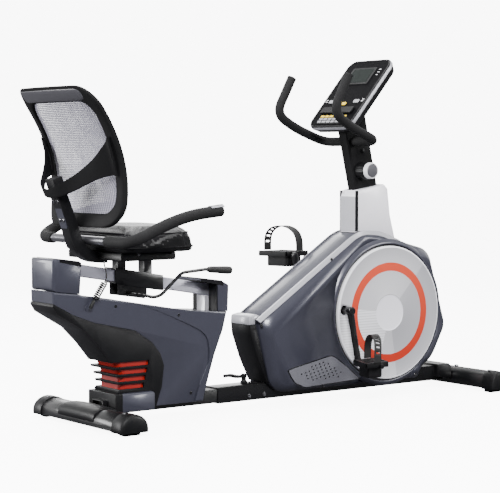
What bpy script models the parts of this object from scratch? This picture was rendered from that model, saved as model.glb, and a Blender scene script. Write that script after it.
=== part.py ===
"""Recumbent magnetic exercise bike, modelled as an assembly of separate pieces.

Metres. +Z up with the floor at z = 0, +X to the front, +Y to the rider's left.
"""
from math import atan2, cos, hypot, pi, radians, sin

import bmesh
import bpy
from mathutils import Vector

for old in list(bpy.data.objects):
    bpy.data.objects.remove(old, do_unlink=True)

# ---------------------------------------------------------------- driving dimensions
GAP = 0.0004                    # between pieces that touch
CRANK = (0.243, 0.298)          # crank axis, x and z
CRANK_LENGTH = 0.170
CRANK_LEAN = radians(7.8)       # the right pedal stands this far forward of straight down
PEDAL_Y = 0.1985                # middle of each pedal
REAR_X = -0.670                 # rear stabiliser
FRONT_X = 0.795                 # front stabiliser
BEAM_HALF = 0.033
BEAM_Z = (0.027, 0.077)
RAIL_X = (-0.785, -0.218)       # seat rail, end to end
RAIL_AT = (-0.703, 0.4625)      # a point on the rail's centre line
RAIL_FALL = 0.170               # drop per metre towards the front
RAIL_HALF = (0.0220, 0.0182)    # half width, half height
HOUSE_HALF = 0.065              # rear housing, half width
FRONT_HALF = 0.086              # front housing, half width
FRONT_TOP_HALF = 0.055          # half width of its flat top, inside the chamfers
DISC = (0.438, 0.280, 0.221)    # side disc: x, z, radius
FLYWHEEL = (0.575, 0.270, 0.112)
PULLEY_R = 0.108
SMALL_PULLEY_R = 0.018
BELT_Y = (0.028, 0.040)
SEAT_TOP = 0.592
SEAT_BASE = 0.5175
BACK_HALF = 0.203
BACK_Z = (0.592, 0.998)
BACK_THICK = 0.022
GRIP_R = 0.0170
TUBE_R = 0.0130
CONSOLE_LOW = Vector((0.245, 0, 0.893))     # bottom edge of the console face
CONSOLE_TILT = radians(41)                  # face, leaning forward from the vertical
CONSOLE_SIZE = (0.214, 0.300, 0.044)        # width, length, depth
# name, place across and up the face, width, height, look
KEYS = (("start_button", 0.0, 0.102, 0.034, 0.013, "yellow"),
        ("up_button", -0.062, 0.112, 0.026, 0.014, "white_key"),
        ("down_button", 0.062, 0.112, 0.026, 0.014, "white_key"))
COIL_R = 0.0072
LEAD_R = 0.0016
TUBE_WALL = 0.0025
LEVER_PIVOT = (-0.095, 0.0)                 # clamp lever: x, y
SEAT_LEVER_PIVOT = (-0.545, 0.391)          # seat lever: x, z
LEVER_Y = -0.080
CROSS_TUBE = (-0.6820, 0.5520)              # seat handlebar's middle: x, z
BAR_X, BAR_Z = 0.344, 0.846                 # front handlebar's middle
FRONT_BAR_R = 0.0150
KNOB = (0.3750, 0.7500)
SLOT_TOP = 0.189                            # the four slots in the rear insert
SLOT_PITCH = 0.0222
SLOT_HEIGHT = 0.0150
CHAMFER = 0.030                             # bevelled shoulder of the front housing
WALL = 0.0040
STRIP_WIDTHS = (0.0110, 0.0110, 0.0120, 0.0150, 0.0200)   # of the pale strip, rear to front
FRAME_BORDER = (0.034, 0.044, 0.040)        # backrest frame: side, top and bottom widths
SIDES = (("right", -1), ("left", 1))
LEAD_SOCKET = (-0.709, 0.356)
LEAD_ROUTE = [(-0.6600, -0.0730, 0.4905), (-0.6590, -0.0735, 0.4830), (-0.6560, -0.0742, 0.4700),
              (-0.6530, -0.0748, 0.4550), (-0.6530, -0.0753, 0.4420), (-0.6570, -0.0760, 0.4330)]
COIL_ENDS = (Vector((-0.6573, -0.0761, 0.4326)), Vector((-0.6968, -0.0790, 0.3790)))


# ---------------------------------------------------------------- materials
def material(name, colour, roughness, metallic=0.0):
    mat = bpy.data.materials.new(name)
    mat.use_nodes = True
    shader = mat.node_tree.nodes["Principled BSDF"]
    shader.inputs["Base Color"].default_value = (*colour, 1)
    shader.inputs["Roughness"].default_value = roughness
    shader.inputs["Metallic"].default_value = metallic
    return mat


PALETTE = {
    "black_paint": ((0.012, 0.012, 0.014), 0.38, 0.0),
    "black_plastic": ((0.010, 0.010, 0.012), 0.45, 0.0),
    "grey_shell": ((0.085, 0.088, 0.112), 0.28, 0.1),
    "silver_trim": ((0.62, 0.62, 0.66), 0.30, 0.2),
    "white_cover": ((0.78, 0.77, 0.82), 0.30, 0.0),
    "aluminium": ((0.48, 0.48, 0.54), 0.35, 0.8),
    "steel": ((0.55, 0.55, 0.57), 0.25, 1.0),
    "foam": ((0.014, 0.014, 0.016), 0.85, 0.0),
    "leather": ((0.020, 0.020, 0.023), 0.50, 0.0),
    "mesh": ((0.38, 0.37, 0.43), 0.80, 0.0),
    "red": ((0.45, 0.030, 0.008), 0.40, 0.0),
    "disc": ((0.55, 0.54, 0.56), 0.40, 0.1),
    "yellow": ((0.85, 0.60, 0.02), 0.40, 0.0),
    "white_key": ((0.75, 0.75, 0.76), 0.40, 0.0),
    "rubber": ((0.012, 0.012, 0.012), 0.75, 0.0),
    "cast_iron": ((0.10, 0.10, 0.11), 0.50, 0.9),
}
MATERIALS = {name: material(name, *look) for name, look in PALETTE.items()}


# ---------------------------------------------------------------- modelling helpers
def finish(name, bm, look, origin=(0, 0, 0)):
    """Close a bmesh into a named object whose origin is at the given point."""
    bmesh.ops.remove_doubles(bm, verts=bm.verts, dist=1e-6)
    bmesh.ops.recalc_face_normals(bm, faces=bm.faces)
    bmesh.ops.translate(bm, verts=bm.verts, vec=-Vector(origin))
    mesh = bpy.data.meshes.new(name)
    bm.to_mesh(mesh)
    bm.free()
    mesh.materials.append(MATERIALS[look])
    mesh.shade_smooth()
    mesh.set_sharp_from_angle(angle=radians(35))
    obj = bpy.data.objects.new(name, mesh)
    obj.location = origin
    bpy.context.scene.collection.objects.link(obj)
    return obj


def skin(bm, rings, caps=True, loop=False, domed=False):
    """Join rings of equal length with quads, and cap the ends or close the loop.
    Domed caps meet at the middle of a ring that isn't flat."""
    rows = [[bm.verts.new(point) for point in ring] for ring in rings]
    pairs = list(zip(rows, rows[1:]))
    if loop:
        pairs.append((rows[-1], rows[0]))
    for low, high in pairs:
        count = len(low)
        for i in range(count):
            bm.faces.new((low[i], low[(i + 1) % count], high[(i + 1) % count], high[i]))
    if caps and not loop:
        for row in (rows[0], rows[-1]):
            if domed:
                middle = sum((vert.co for vert in row), Vector()) / len(row)
                peak = bm.verts.new(middle)
                for i in range(len(row)):
                    bm.faces.new((row[i - 1], row[i], peak))
            else:
                bm.faces.new(row)
    return rows


def loft(name, rings, look, origin=(0, 0, 0), loop=False, domed=False):
    bm = bmesh.new()
    skin(bm, rings, loop=loop, domed=domed)
    return finish(name, bm, look, origin)


def prism(name, outline, y0, y1, look, bevel=0.0, steps=1, pick=None, origin=(0, 0, 0)):
    """Extrude an x-z outline along Y; pick chooses the edges that a bevel rounds."""
    bm = bmesh.new()
    skin(bm, [[(x, y, z) for x, z in outline] for y in (y0, y1)])
    if bevel:
        bmesh.ops.recalc_face_normals(bm, faces=bm.faces)
        edges = [edge for edge in bm.edges if pick is None or pick(edge)]
        bmesh.ops.bevel(bm, geom=edges, offset=bevel, segments=steps, profile=0.5,
                        affect="EDGES", clamp_overlap=True)
    return finish(name, bm, look, origin)


def box(name, low, high, look, bevel=0.0, origin=(0, 0, 0)):
    outline = [(low[0], low[2]), (high[0], low[2]), (high[0], high[2]), (low[0], high[2])]
    return prism(name, outline, low[1], high[1], look, bevel, origin=origin)


def side_edge(y, test=lambda middle: True):
    """A picker for the rim edges of a prism's face at this y."""
    def pick(edge):
        ends = [vert.co for vert in edge.verts]
        if any(abs(end.y - y) > 1e-5 for end in ends):
            return False
        return test((ends[0] + ends[1]) / 2)
    return pick


def turned(name, profile, centre, look, sides=24, origin=None):
    """Turn a profile of (radius, y) points about the Y axis through centre (x, z)."""
    rings = []
    for radius, y in profile:
        angles = [2 * pi * i / sides for i in range(sides)]
        rings.append([(centre[0] + radius * cos(a), y, centre[1] + radius * sin(a)) for a in angles])
    hollow = profile[0] == profile[-1]
    if hollow:
        rings.pop()
    return loft(name, rings, look, origin or (0, 0, 0), loop=hollow)


def cylinder_y(name, centre, radius, y0, y1, look, sides=24, origin=None):
    return turned(name, [(radius, y0), (radius, y1)], centre, look, sides, origin)


def frames(path, up):
    """A side and an up vector, square to the path, at each of its points."""
    result = []
    up = Vector(up)
    for i, point in enumerate(path):
        before = path[max(i - 1, 0)]
        after = path[min(i + 1, len(path) - 1)]
        along = (after - before).normalized()
        up = (up - along * up.dot(along)).normalized()
        result.append((point, along.cross(up).normalized(), up.copy()))
    return result


def sweep(name, path, section, look, up=(0, 0, 1), origin=(0, 0, 0)):
    """Run a section of (side, up) offsets along a path."""
    rings = [[p + s * a + u * b for a, b in section] for p, s, u in frames(path, up)]
    return loft(name, rings, look, origin)


def circle(radius, sides):
    return [(radius * cos(2 * pi * i / sides), radius * sin(2 * pi * i / sides)) for i in range(sides)]


def rectangle(half_width, half_height):
    return [(-half_width, -half_height), (half_width, -half_height),
            (half_width, half_height), (-half_width, half_height)]


def rounded(points, radius, steps=4):
    """A path through the points, its inner corners turned with the given radius."""
    points = [Vector(p) for p in points]
    path = [points[0]]
    for before, corner, after in zip(points, points[1:], points[2:]):
        reach = min(radius, (before - corner).length * 0.48, (after - corner).length * 0.48)
        start = corner + (before - corner).normalized() * reach
        end = corner + (after - corner).normalized() * reach
        for i in range(steps + 1):
            t = i / steps
            path.append(start * (1 - t) ** 2 + corner * 2 * t * (1 - t) + end * t * t)
    path.append(points[-1])
    return path


def smooth(points, steps):
    """A Catmull-Rom curve through the points."""
    points = [Vector(p) for p in points]
    ends = [2 * points[0] - points[1]] + points + [2 * points[-1] - points[-2]]
    path = []
    for a, b, c, d in zip(ends, ends[1:], ends[2:], ends[3:]):
        for i in range(steps):
            t = i / steps
            path.append(0.5 * (2 * b + (c - a) * t + (2 * a - 5 * b + 4 * c - d) * t * t
                               + (3 * b - a - 3 * c + d) * t ** 3))
    path.append(points[-1])
    return path


def helper(obj):
    obj.hide_render = True
    obj.display_type = "WIRE"
    return obj


def cut(obj, tool):
    modifier = obj.modifiers.new("cut_" + tool.name, "BOOLEAN")
    modifier.operation = "DIFFERENCE"
    modifier.object = helper(tool)


def join(obj, tool):
    modifier = obj.modifiers.new("join_" + tool.name, "BOOLEAN")
    modifier.operation = "UNION"
    modifier.object = helper(tool)


def span(side, near, far):
    """The y range from near to far on one side of the bike, low to high."""
    return tuple(sorted((side * near, side * far)))


# ---------------------------------------------------------------- floor frame
def rear_frame():
    """Rear beam, with the bent post that carries the rail's rear end welded on."""
    beam = box("rear_beam", (-0.640, -0.0298, 0.0302), (-0.080, 0.0298, 0.0728), "black_paint")
    cut(beam, box("rear_bore_tool", (-0.660, -0.0273, 0.0327), (-0.060, 0.0273, 0.0703), "black_paint"))
    post = [(-0.572, 0.050), (-0.574, 0.130), (-0.596, 0.205), (-0.646, 0.280), (-0.728, 0.346), (-0.774, 0.400),
            (-0.780, rail_z(-0.780) - RAIL_HALF[1] - 0.005)]
    path = [Vector((x, 0, z)) for x, z in post]
    join(beam, sweep("rear_post_tool", path, rectangle(0.016, 0.014), "black_paint", up=(1, 0, 0)))


def rail_z(x):
    return RAIL_AT[1] - RAIL_FALL * (x - RAIL_AT[0])


def along_rail(x0, x1, half_height):
    """The x-z outline of a bar round the rail's centre line."""
    rise = half_height * hypot(1, RAIL_FALL)
    return [(x0, rail_z(x0) - rise), (x1, rail_z(x1) - rise),
            (x1, rail_z(x1) + rise), (x0, rail_z(x0) + rise)]


def main_beam():
    """Front beam: a sleeve for the rear beam, the crank's post and bearing shell,
    the flywheel's fork and the front stabiliser's bracket, welded together."""
    x0, x1 = -0.220, 0.742
    beam = box("main_beam", (x0, -BEAM_HALF, BEAM_Z[0]), (x1, BEAM_HALF, BEAM_Z[1]), "black_paint")
    cx, cz = CRANK
    join(beam, box("crank_post_tool", (cx - 0.02, -0.030, 0.070), (cx + 0.02, 0.010, cz), "black_paint"))
    join(beam, cylinder_y("crank_shell_tool", CRANK, 0.026, -0.055, 0.020, "black_paint"))
    fx, fz, _ = FLYWHEEL
    base = [(fx - 0.024, 0.062), (fx + 0.024, 0.062), (fx + 0.024, 0.084), (fx - 0.024, 0.084)]
    join(beam, prism("fork_base_tool", base, -0.024, 0.056, "black_paint"))
    cheek = [(fx - 0.022, 0.070), (fx + 0.022, 0.070), (fx + 0.022, fz + 0.020), (fx - 0.012, fz + 0.020),
             (fx - 0.098, fz + 0.086), (fx - 0.118, fz + 0.066), (fx - 0.030, fz - 0.020)]
    join(beam, prism("fork_right_tool", cheek, -0.024, -0.018, "black_paint"))
    join(beam, prism("fork_left_tool", cheek, 0.050, 0.056, "black_paint"))
    wedge = [(0.700, 0.040), (0.764, 0.030), (0.764, 0.072), (0.752, 0.083), (0.700, 0.083)]
    join(beam, prism("front_bracket_tool", wedge, -0.052, 0.052, "black_paint"))
    cut(beam, box("sleeve_tool", (-0.300, -0.0302, 0.0298), (0.690, 0.0302, 0.0732), "black_paint"))
    cut(beam, box("post_bore_tool", (cx - 0.0175, -0.0275, 0.060), (cx + 0.0175, 0.0075, cz - 0.030), "black_paint"))
    cut(beam, cylinder_y("crank_bore_tool", CRANK, 0.0103, -0.1, 0.1, "steel"))
    cut(beam, cylinder_y("flywheel_bore_tool", (fx, fz), 0.0064, -0.1, 0.1, "steel"))
    cut(beam, cylinder_y("magnet_bore_tool", magnet_pivot(), 0.0044, -0.1, 0.1, "steel", 16))


def stabiliser_outline(x, half, low, high):
    """A D section: flat underneath, bowed on top."""
    arc = [(x + half * cos(pi * i / 10), low + 0.012 + (high - low - 0.012) * sin(pi * i / 10)) for i in range(11)]
    return [(x - half, low), (x + half, low)] + arc


def stabilisers():
    for label, x, half, top in (("rear", REAR_X, 0.046, 0.0600), ("front", FRONT_X, 0.030, 0.0700)):
        low = 0.012
        tube = stabiliser_outline(x, half, low, top)
        body = prism(label + "_stabiliser", tube, -0.200, 0.200, "black_paint")
        bore = stabiliser_outline(x, half - TUBE_WALL, low + TUBE_WALL, top - TUBE_WALL)
        cut(body, prism(label + "_bore_tool", bore, -0.300, 0.300, "black_paint"))
        if label == "rear":
            cut(body, box("rear_notch_tool", (-0.8, -0.0302, 0.0298), (-0.5, 0.0302, 0.1), "black_paint"))
        for side_name, side in SIDES:
            grown = stabiliser_outline(x, half + 0.003, low - 0.002, top + 0.003)
            y0, y1 = span(side, 0.2004, 0.256)
            outer = side * 0.256
            cap = prism(f"{label}_cap_{side_name}", grown, y0, y1, "black_plastic", 0.012, 2,
                        side_edge(outer, lambda m, low=low: m.z > low))
            y0, y1 = span(side, 0.206, 0.240)
            pad = box(f"{label}_pad_{side_name}_tool", (x - 0.028, y0, 0.0), (x + 0.028, y1, 0.014), "rubber", 0.003)
            join(cap, pad)


def base_cover():
    """Moulded cover round the foot of the rear housing."""
    outline = [(-0.6225, 0.0640), (-0.6225, 0.0955), (-0.484, 0.0955), (-0.484, 0.0400), (-0.600, 0.0400),
               (-0.600, 0.0640)]
    cover = prism("base_cover", outline, -0.076, 0.076, "grey_shell", 0.008, 2,
                  lambda edge: all(vert.co.z > 0.09 for vert in edge.verts))
    cut(cover, box("cover_beam_tool", (-0.7, -0.0305, 0.0), (-0.4, 0.0305, 0.0735), "black_paint"))
    cut(cover, box("cover_post_tool", (-0.592, -0.0170, 0.05), (-0.554, 0.0170, 0.2), "black_paint"))


def clamp_lever():
    """Adjustable clamp handle on the sleeve."""
    x = LEVER_PIVOT[0]
    boss = [(0.0001, 0.0776), (0.011, 0.0776), (0.011, 0.084), (0.007, 0.088), (0.007, 0.094), (0.009, 0.106),
            (0.0001, 0.108)]
    rings = [[(x + r * cos(2 * pi * i / 16), r * sin(2 * pi * i / 16), z) for i in range(16)] for r, z in boss]
    lever = loft("clamp_lever", rings, "black_plastic", origin=(x, 0, 0.0776))
    path = rounded([(x + 0.002, 0, 0.099), (x - 0.030, 0, 0.101), (x - 0.052, 0, 0.108), (x - 0.074, 0, 0.107)], 0.012, 2)
    join(lever, sweep("clamp_arm_tool", path, circle(0.0058, 10), "black_plastic", up=(0, 1, 0)))


# ---------------------------------------------------------------- rear housing
INSERT_EDGE = [(-0.4725, 0.0462), (-0.4505, 0.109), (-0.4435, 0.169), (-0.4560, 0.205), (-0.4850, 0.240),
               (-0.547, 0.280), (-0.620, 0.297), (-0.690, 0.312), (-0.760, 0.338), (-0.826, 0.374)]
INSERT_REAR = [(-0.828, 0.366), (-0.815, 0.345), (-0.779, 0.324), (-0.724, 0.292), (-0.675, 0.243), (-0.634, 0.193),
               (-0.614, 0.152), (-0.606, 0.120), (-0.605, 0.0960)]
REAR_CAVITY = [(-0.600, 0.030), (-0.600, 0.152), (-0.625, 0.205), (-0.668, 0.256), (-0.716, 0.302),
               (-0.772, 0.334), (-0.806, 0.362), (-0.806, 0.430), (-0.743, 0.430), (-0.743, 0.3890),
               (-0.620, 0.372), (-0.335, 0.3215), (-0.268, 0.316), (-0.268, 0.340), (-0.222, 0.340),
               (-0.222, 0.290), (-0.2265, 0.262), (-0.2585, 0.187), (-0.2885, 0.095), (-0.303, 0.030)]


def rear_housing():
    shell = [(-0.826 - GAP, 0.3745), (-0.828, 0.4090), (-0.738, 0.3980), (-0.722, 0.3925), (-0.620, 0.3770),
             (-0.335, 0.3265), (-0.207, 0.3180), (-0.222, 0.262), (-0.254, 0.187), (-0.284, 0.095), (-0.298, 0.0462)]
    shell += [(x + GAP, z + GAP) for x, z in INSERT_EDGE[:-1]]
    for side_name, side in SIDES:
        y0, y1 = span(side, GAP / 2, HOUSE_HALF)
        outer = side * HOUSE_HALF
        half = prism(f"rear_shell_{side_name}", shell, y0, y1, "grey_shell", 0.006, 2,
                     side_edge(outer, lambda m: m.x > -0.42 or m.z > 0.376))
        y0, y1 = span(side, -0.010, 0.0605)
        cut(half, prism(f"rear_cavity_{side_name}_tool", REAR_CAVITY, y0, y1, "grey_shell"))
        cut(half, box(f"rear_tunnel_{side_name}_tool", (-0.620, -0.0303, 0.020), (-0.250, 0.0303, 0.0733),
                      "grey_shell"))
        if side < 0:
            profile = [(0.0110, -0.0620), (0.0110, -0.0690), (0.0080, -0.0705)]
            join(half, turned("lead_socket_tool", profile, LEAD_SOCKET, "rubber", 18))

    insert = [(x - GAP, z - GAP) for x, z in INSERT_EDGE[1:]] + INSERT_REAR
    insert += [(-0.4835, 0.0960), (-0.4835, 0.0462), (-0.4730, 0.0462)]
    panel = prism("rear_insert", insert, -HOUSE_HALF, HOUSE_HALF, "black_plastic", 0.026, 3, rear_rim)
    cut(panel, prism("insert_cavity_tool", REAR_CAVITY, -0.0580, 0.0580, "black_plastic", 0.022, 3, rear_rim))
    for i in range(4):
        z = SLOT_TOP - i * SLOT_PITCH
        cut(panel, box(f"slot_{i}_tool", (-0.75, -0.1, z - SLOT_HEIGHT), (-0.498 - 0.006 * i, 0.1, z), "red"))
    return panel


def rear_rim(edge):
    """The upright rim edges at the rear of the insert."""
    ends = [vert.co for vert in edge.verts]
    same_side = abs(ends[0].y - ends[1].y) < 1e-6
    return same_side and all(end.x < -0.59 and end.z > 0.094 and end.z < 0.340 for end in ends) and (
        abs(ends[0].x - ends[1].x) < 0.06)


def red_liner():
    """Red U-shaped liner that shows through the four slots."""
    low, high = 0.106, 0.196
    levels = [low + (high - low) * i / 4 for i in range(5)]
    rings = []
    for z in levels:
        rear = cavity_rear(z) + 0.0015
        outer = u_outline(rear, 0.0575, 0.020)
        inner = u_outline(rear + 0.003, 0.0545, 0.017)
        rings.append([(x, y, z) for x, y in outer + inner[::-1]])
    loft("slot_liner", rings, "red")


def cavity_rear(z):
    """The x of the rear cavity's back wall at height z."""
    wall = REAR_CAVITY[1:6]
    if z <= wall[0][1]:
        return wall[0][0]
    for (x0, z0), (x1, z1) in zip(wall, wall[1:]):
        if z <= z1:
            return x0 + (x1 - x0) * (z - z0) / (z1 - z0)
    return wall[-1][0]


def u_outline(rear, half, corner):
    """A U open to the front: points from the right leg's end round to the left leg's."""
    points = [(-0.4900, -half)]
    for i in range(5):
        a = -pi / 2 - (pi / 2) * i / 4
        points.append((rear + corner + corner * cos(a), -half + corner + corner * sin(a)))
    return points + [(x, -y) for x, y in points[::-1]]


def end_blocks():
    """Hoods over the rail's two ends."""
    rear = [(-0.828, 0.4094), (-0.828, 0.505), (-0.740, 0.4935), (-0.732, 0.488), (-0.738, 0.3984)]
    block = prism("rear_end_block", rear, -0.066, 0.066, "grey_shell", 0.014, 3,
                  lambda e: all(v.co.x < -0.82 and v.co.z > 0.42 for v in e.verts) or
                  (abs(e.verts[0].co.x - e.verts[1].co.x) < 1e-4 and all(v.co.x < -0.82 for v in e.verts)))
    inner = [(-0.816, 0.380), (-0.816, 0.4995), (-0.747, 0.4905), (-0.747, 0.380)]
    cut(block, prism("rear_block_cavity_tool", inner, -0.060, 0.060, "grey_shell"))
    cut(block, box("rear_block_rail_tool", (-0.760, -0.0228, 0.4462), (-0.700, 0.0228, 0.4905), "grey_shell"))
    hood = [(-0.310, 0.4240), (-0.225, 0.4130), (-0.202, 0.4020), (-0.206, 0.3186), (-0.243, 0.3216),
            (-0.243, 0.4065), (-0.310, 0.4178)]
    front = prism("front_end_block", hood, -HOUSE_HALF, HOUSE_HALF, "grey_shell", 0.004, 2,
                  lambda e: all(v.co.z > 0.40 and v.co.x > -0.3 for v in e.verts) and
                  not all(abs(v.co.x + 0.243) < 1e-4 for v in e.verts))
    cut(front, box("hood_cavity_tool", (-0.270, -0.058, 0.300), (-0.2145, 0.058, 0.4042), "grey_shell"))


def rail_and_post():
    rail = prism("seat_rail", along_rail(*RAIL_X, RAIL_HALF[1]), -RAIL_HALF[0], RAIL_HALF[0], "aluminium", 0.002, 1,
                 lambda e: abs(e.verts[0].co.x - e.verts[1].co.x) > 0.1)
    inside = along_rail(RAIL_X[0] - 0.01, RAIL_X[1] + 0.01, RAIL_HALF[1] - 0.003)
    cut(rail, prism("rail_bore_tool", inside, -0.019, 0.019, "aluminium"))
    x0, x1 = -0.262, -0.228
    rise = RAIL_HALF[1] * hypot(1, RAIL_FALL) + GAP
    foot = -0.073
    outline = [(x0 + foot, 0.0732), (x1 + foot, 0.0732), (x1 - 0.042, 0.200), (x1, 0.285), (x1, rail_z(x1) - rise),
               (x0, rail_z(x0) - rise), (x0, 0.290), (x0 - 0.043, 0.200)]
    prism("front_rail_post", outline, -0.0215, 0.0215, "aluminium", 0.002, 1,
          lambda e: abs(e.verts[0].co.z - e.verts[1].co.z) > 0.1)


# ---------------------------------------------------------------- seat
def carriage():
    """Sleeve that slides on the rail, with its two posts and the lever's bracket."""
    x0, x1 = -0.591, -0.420
    body = prism("seat_carriage", along_rail(x0, x1, 0.0232), -0.0272, 0.0272, "black_paint")
    for i, x in enumerate((-0.562, -0.468)):
        join(body, box(f"seat_post_{i}_tool", (x - 0.014, -0.017, rail_z(x) + 0.010), (x + 0.014, 0.017, 0.4900),
                       "black_paint"))
        join(body, box(f"seat_flange_{i}_tool", (x - 0.030, -0.034, 0.4880), (x + 0.030, 0.034, 0.4928),
                       "black_paint"))
    for side in (-1, 1):
        y0, y1 = span(side, 0.0205, 0.0245)
        plate = [(-0.580, 0.384), (-0.486, 0.370), (-0.478, 0.384), (-0.478, 0.410), (-0.580, 0.428)]
        join(body, prism(f"lever_plate_{side}_tool", plate, y0, y1, "black_paint"))
    cut(body, prism("carriage_bore_tool", along_rail(x0 - 0.05, x1 + 0.05, 0.0186), -0.0224, 0.0224, "black_paint"))
    cut(body, cylinder_y("lever_bore_tool", SEAT_LEVER_PIVOT, 0.0054, -0.1, 0.1, "black_paint", 16))


def seat_lever():
    """Bent rod that frees the carriage when its grip is lifted."""
    px, pz = SEAT_LEVER_PIVOT
    path = rounded([(px, 0.032, pz), (px, LEVER_Y, pz), (-0.490, LEVER_Y, 0.377), (-0.463, LEVER_Y, 0.383),
                    (-0.388, LEVER_Y, 0.447), (-0.300, LEVER_Y, 0.4535), (-0.286, LEVER_Y, 0.4530)], 0.012, 3)
    lever = sweep("seat_lever", path, circle(0.0050, 10), "black_paint", up=(0, 0, 1), origin=(px, 0, pz))
    start = Vector((-0.2930, LEVER_Y, 0.4530))
    along = Vector((1, 0, -0.07)).normalized()
    stations = [(0.0, 0.0072), (0.004, 0.0095), (0.045, 0.0112), (0.080, 0.0122), (0.090, 0.0085)]
    rings = []
    for distance, radius in stations:
        centre = start + along * distance
        rings.append([centre + Vector((0, radius * a, radius * b)) for a, b in circle(1, 14)])
    join(lever, loft("lever_grip_tool", rings, "rubber"))


BRACKET_PATH = [(-0.615, 0.4995), (-0.655, 0.501), (-0.694, 0.519), (-0.7180, 0.552), (-0.738, 0.610),
                (-0.762, 0.670), (-0.785, 0.735)]


def seat_frame():
    """Seat pan with the curved tube that rises behind it to hold the backrest."""
    pan = box("seat_frame", (-0.648, -0.150, 0.4932), (-0.457, 0.150, 0.5170), "black_plastic", 0.003)
    path = smooth([(x, 0, z) for x, z in BRACKET_PATH], 2)
    join(pan, sweep("back_tube_tool", path, rectangle(0.0225, 0.0165), "black_paint", up=(0, 0, 1)))


def cushion():
    """Padded seat: wide round front corners, small rear ones, soft top and bottom edges."""
    x0, x1, half = -0.651, -0.365, 0.190
    rings = []
    for z, inset in ((SEAT_BASE, 0.010), (SEAT_BASE + 0.010, 0.0), (SEAT_TOP - 0.022, 0.0), (SEAT_TOP - 0.006, 0.008),
                     (SEAT_TOP, 0.024)):
        ring = []
        for cx, cy, radius, start in ((x1 - 0.12, half - 0.12, 0.12, 0), (x0 + 0.03, half - 0.03, 0.03, 90),
                                      (x0 + 0.03, 0.03 - half, 0.03, 180), (x1 - 0.12, 0.12 - half, 0.12, 270)):
            for i in range(6):
                a = radians(start + 90 * i / 5)
                ring.append((cx + (radius - inset) * cos(a), cy + (radius - inset) * sin(a), z))
        rings.append(ring)
    loft("seat_cushion", rings, "leather")


def back_x(y, z):
    """Front face of the backrest: bowed forward at the waist and at both sides."""
    bow = 1.45 if z > 0.70 else 1.7
    return -0.652 - bow * (z - 0.70) ** 2 - 0.020 * (1 - (y / 0.2) ** 2)


def back_loop(inset_side, inset_top, inset_low, depth):
    """A rounded rectangle on the backrest's curved face, at a depth behind it."""
    half = BACK_HALF - inset_side
    low = BACK_Z[0] + inset_low
    high = BACK_Z[1] - inset_top
    top_r = max(0.045 - inset_side * 0.4, 0.012)
    low_r = max(0.070 - inset_side * 0.6, 0.012)
    corners = ((half - top_r, high - top_r, top_r, 0), (-half + top_r, high - top_r, top_r, 90),
               (-half + low_r, low + low_r, low_r, 180), (half - low_r, low + low_r, low_r, 270))
    flat = []
    for cy, cz, radius, start in corners:
        for i in range(5):
            a = radians(start + 90 * i / 4)
            flat.append((cy + radius * cos(a), cz + radius * sin(a)))
        following = corners[(corners.index((cy, cz, radius, start)) + 1) % 4]
        a = radians(following[3])
        end = (following[0] + following[2] * cos(a), following[1] + following[2] * sin(a))
        begin = flat[-1]
        flat += [(begin[0] + (end[0] - begin[0]) * t / 5, begin[1] + (end[1] - begin[1]) * t / 5) for t in range(1, 5)]
    return [(back_x(y, z) - depth, y, z) for y, z in flat]


def backrest():
    side, top, low = FRAME_BORDER
    rings = [back_loop(0, 0, 0, 0.004), back_loop(0, 0, 0, BACK_THICK), back_loop(side, top, low, BACK_THICK),
             back_loop(side, top, low, 0.004), back_loop(side * 0.5, top * 0.5, low * 0.5, 0.0)]
    loft("backrest_frame", rings, "black_plastic", loop=True)
    layers = []
    for depth in (0.010, 0.013):
        layers.append([back_loop(side + GAP + 0.15 * t, top + GAP + 0.17 * t, low + GAP + 0.17 * t, depth)
                       for t in (0, 0.35, 0.7, 0.92)])
    loft("backrest_mesh", layers[0][::-1] + layers[1], "mesh", domed=True)


def lumbar_support():
    """Plastic yoke behind the mesh: two broad arms sweep from the frame to the bracket."""
    right = [(0.186, 0.0236, 0.815, 0.040), (0.166, 0.0262, 0.800, 0.037), (0.140, 0.055, 0.766, 0.030),
             (0.090, 0.094, 0.724, 0.023), (0.040, 0.119, 0.697, 0.019), (0.0, 0.1210, 0.688, 0.018)]
    stations = [(-y, d, z, h) for y, d, z, h in right] + right[-2::-1]
    rings = []
    for y, depth, z, half in stations:
        low, high = back_x(y, z - half) - depth, back_x(y, z + half) - depth
        if abs(y) < 0.15:
            lean = 0.0065 if abs(y) < 0.06 else 0.0
            low = back_x(y, z) - depth + lean
            high = low - 2 * lean
        rings.append([(low, y, z - half), (low - 0.007, y, z - half), (high - 0.007, y, z + half), (high, y, z + half)])
    loft("lumbar_support", rings, "black_plastic")


def bar_path():
    """Right half of the seat handlebar, from the middle to its tip."""
    x, z = CROSS_TUBE
    return [(x, 0, z), (x, -0.258, z), (-0.575, -0.272, 0.603), (-0.490, -0.280, 0.629),
            (-0.388, -0.286, 0.640)]


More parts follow.
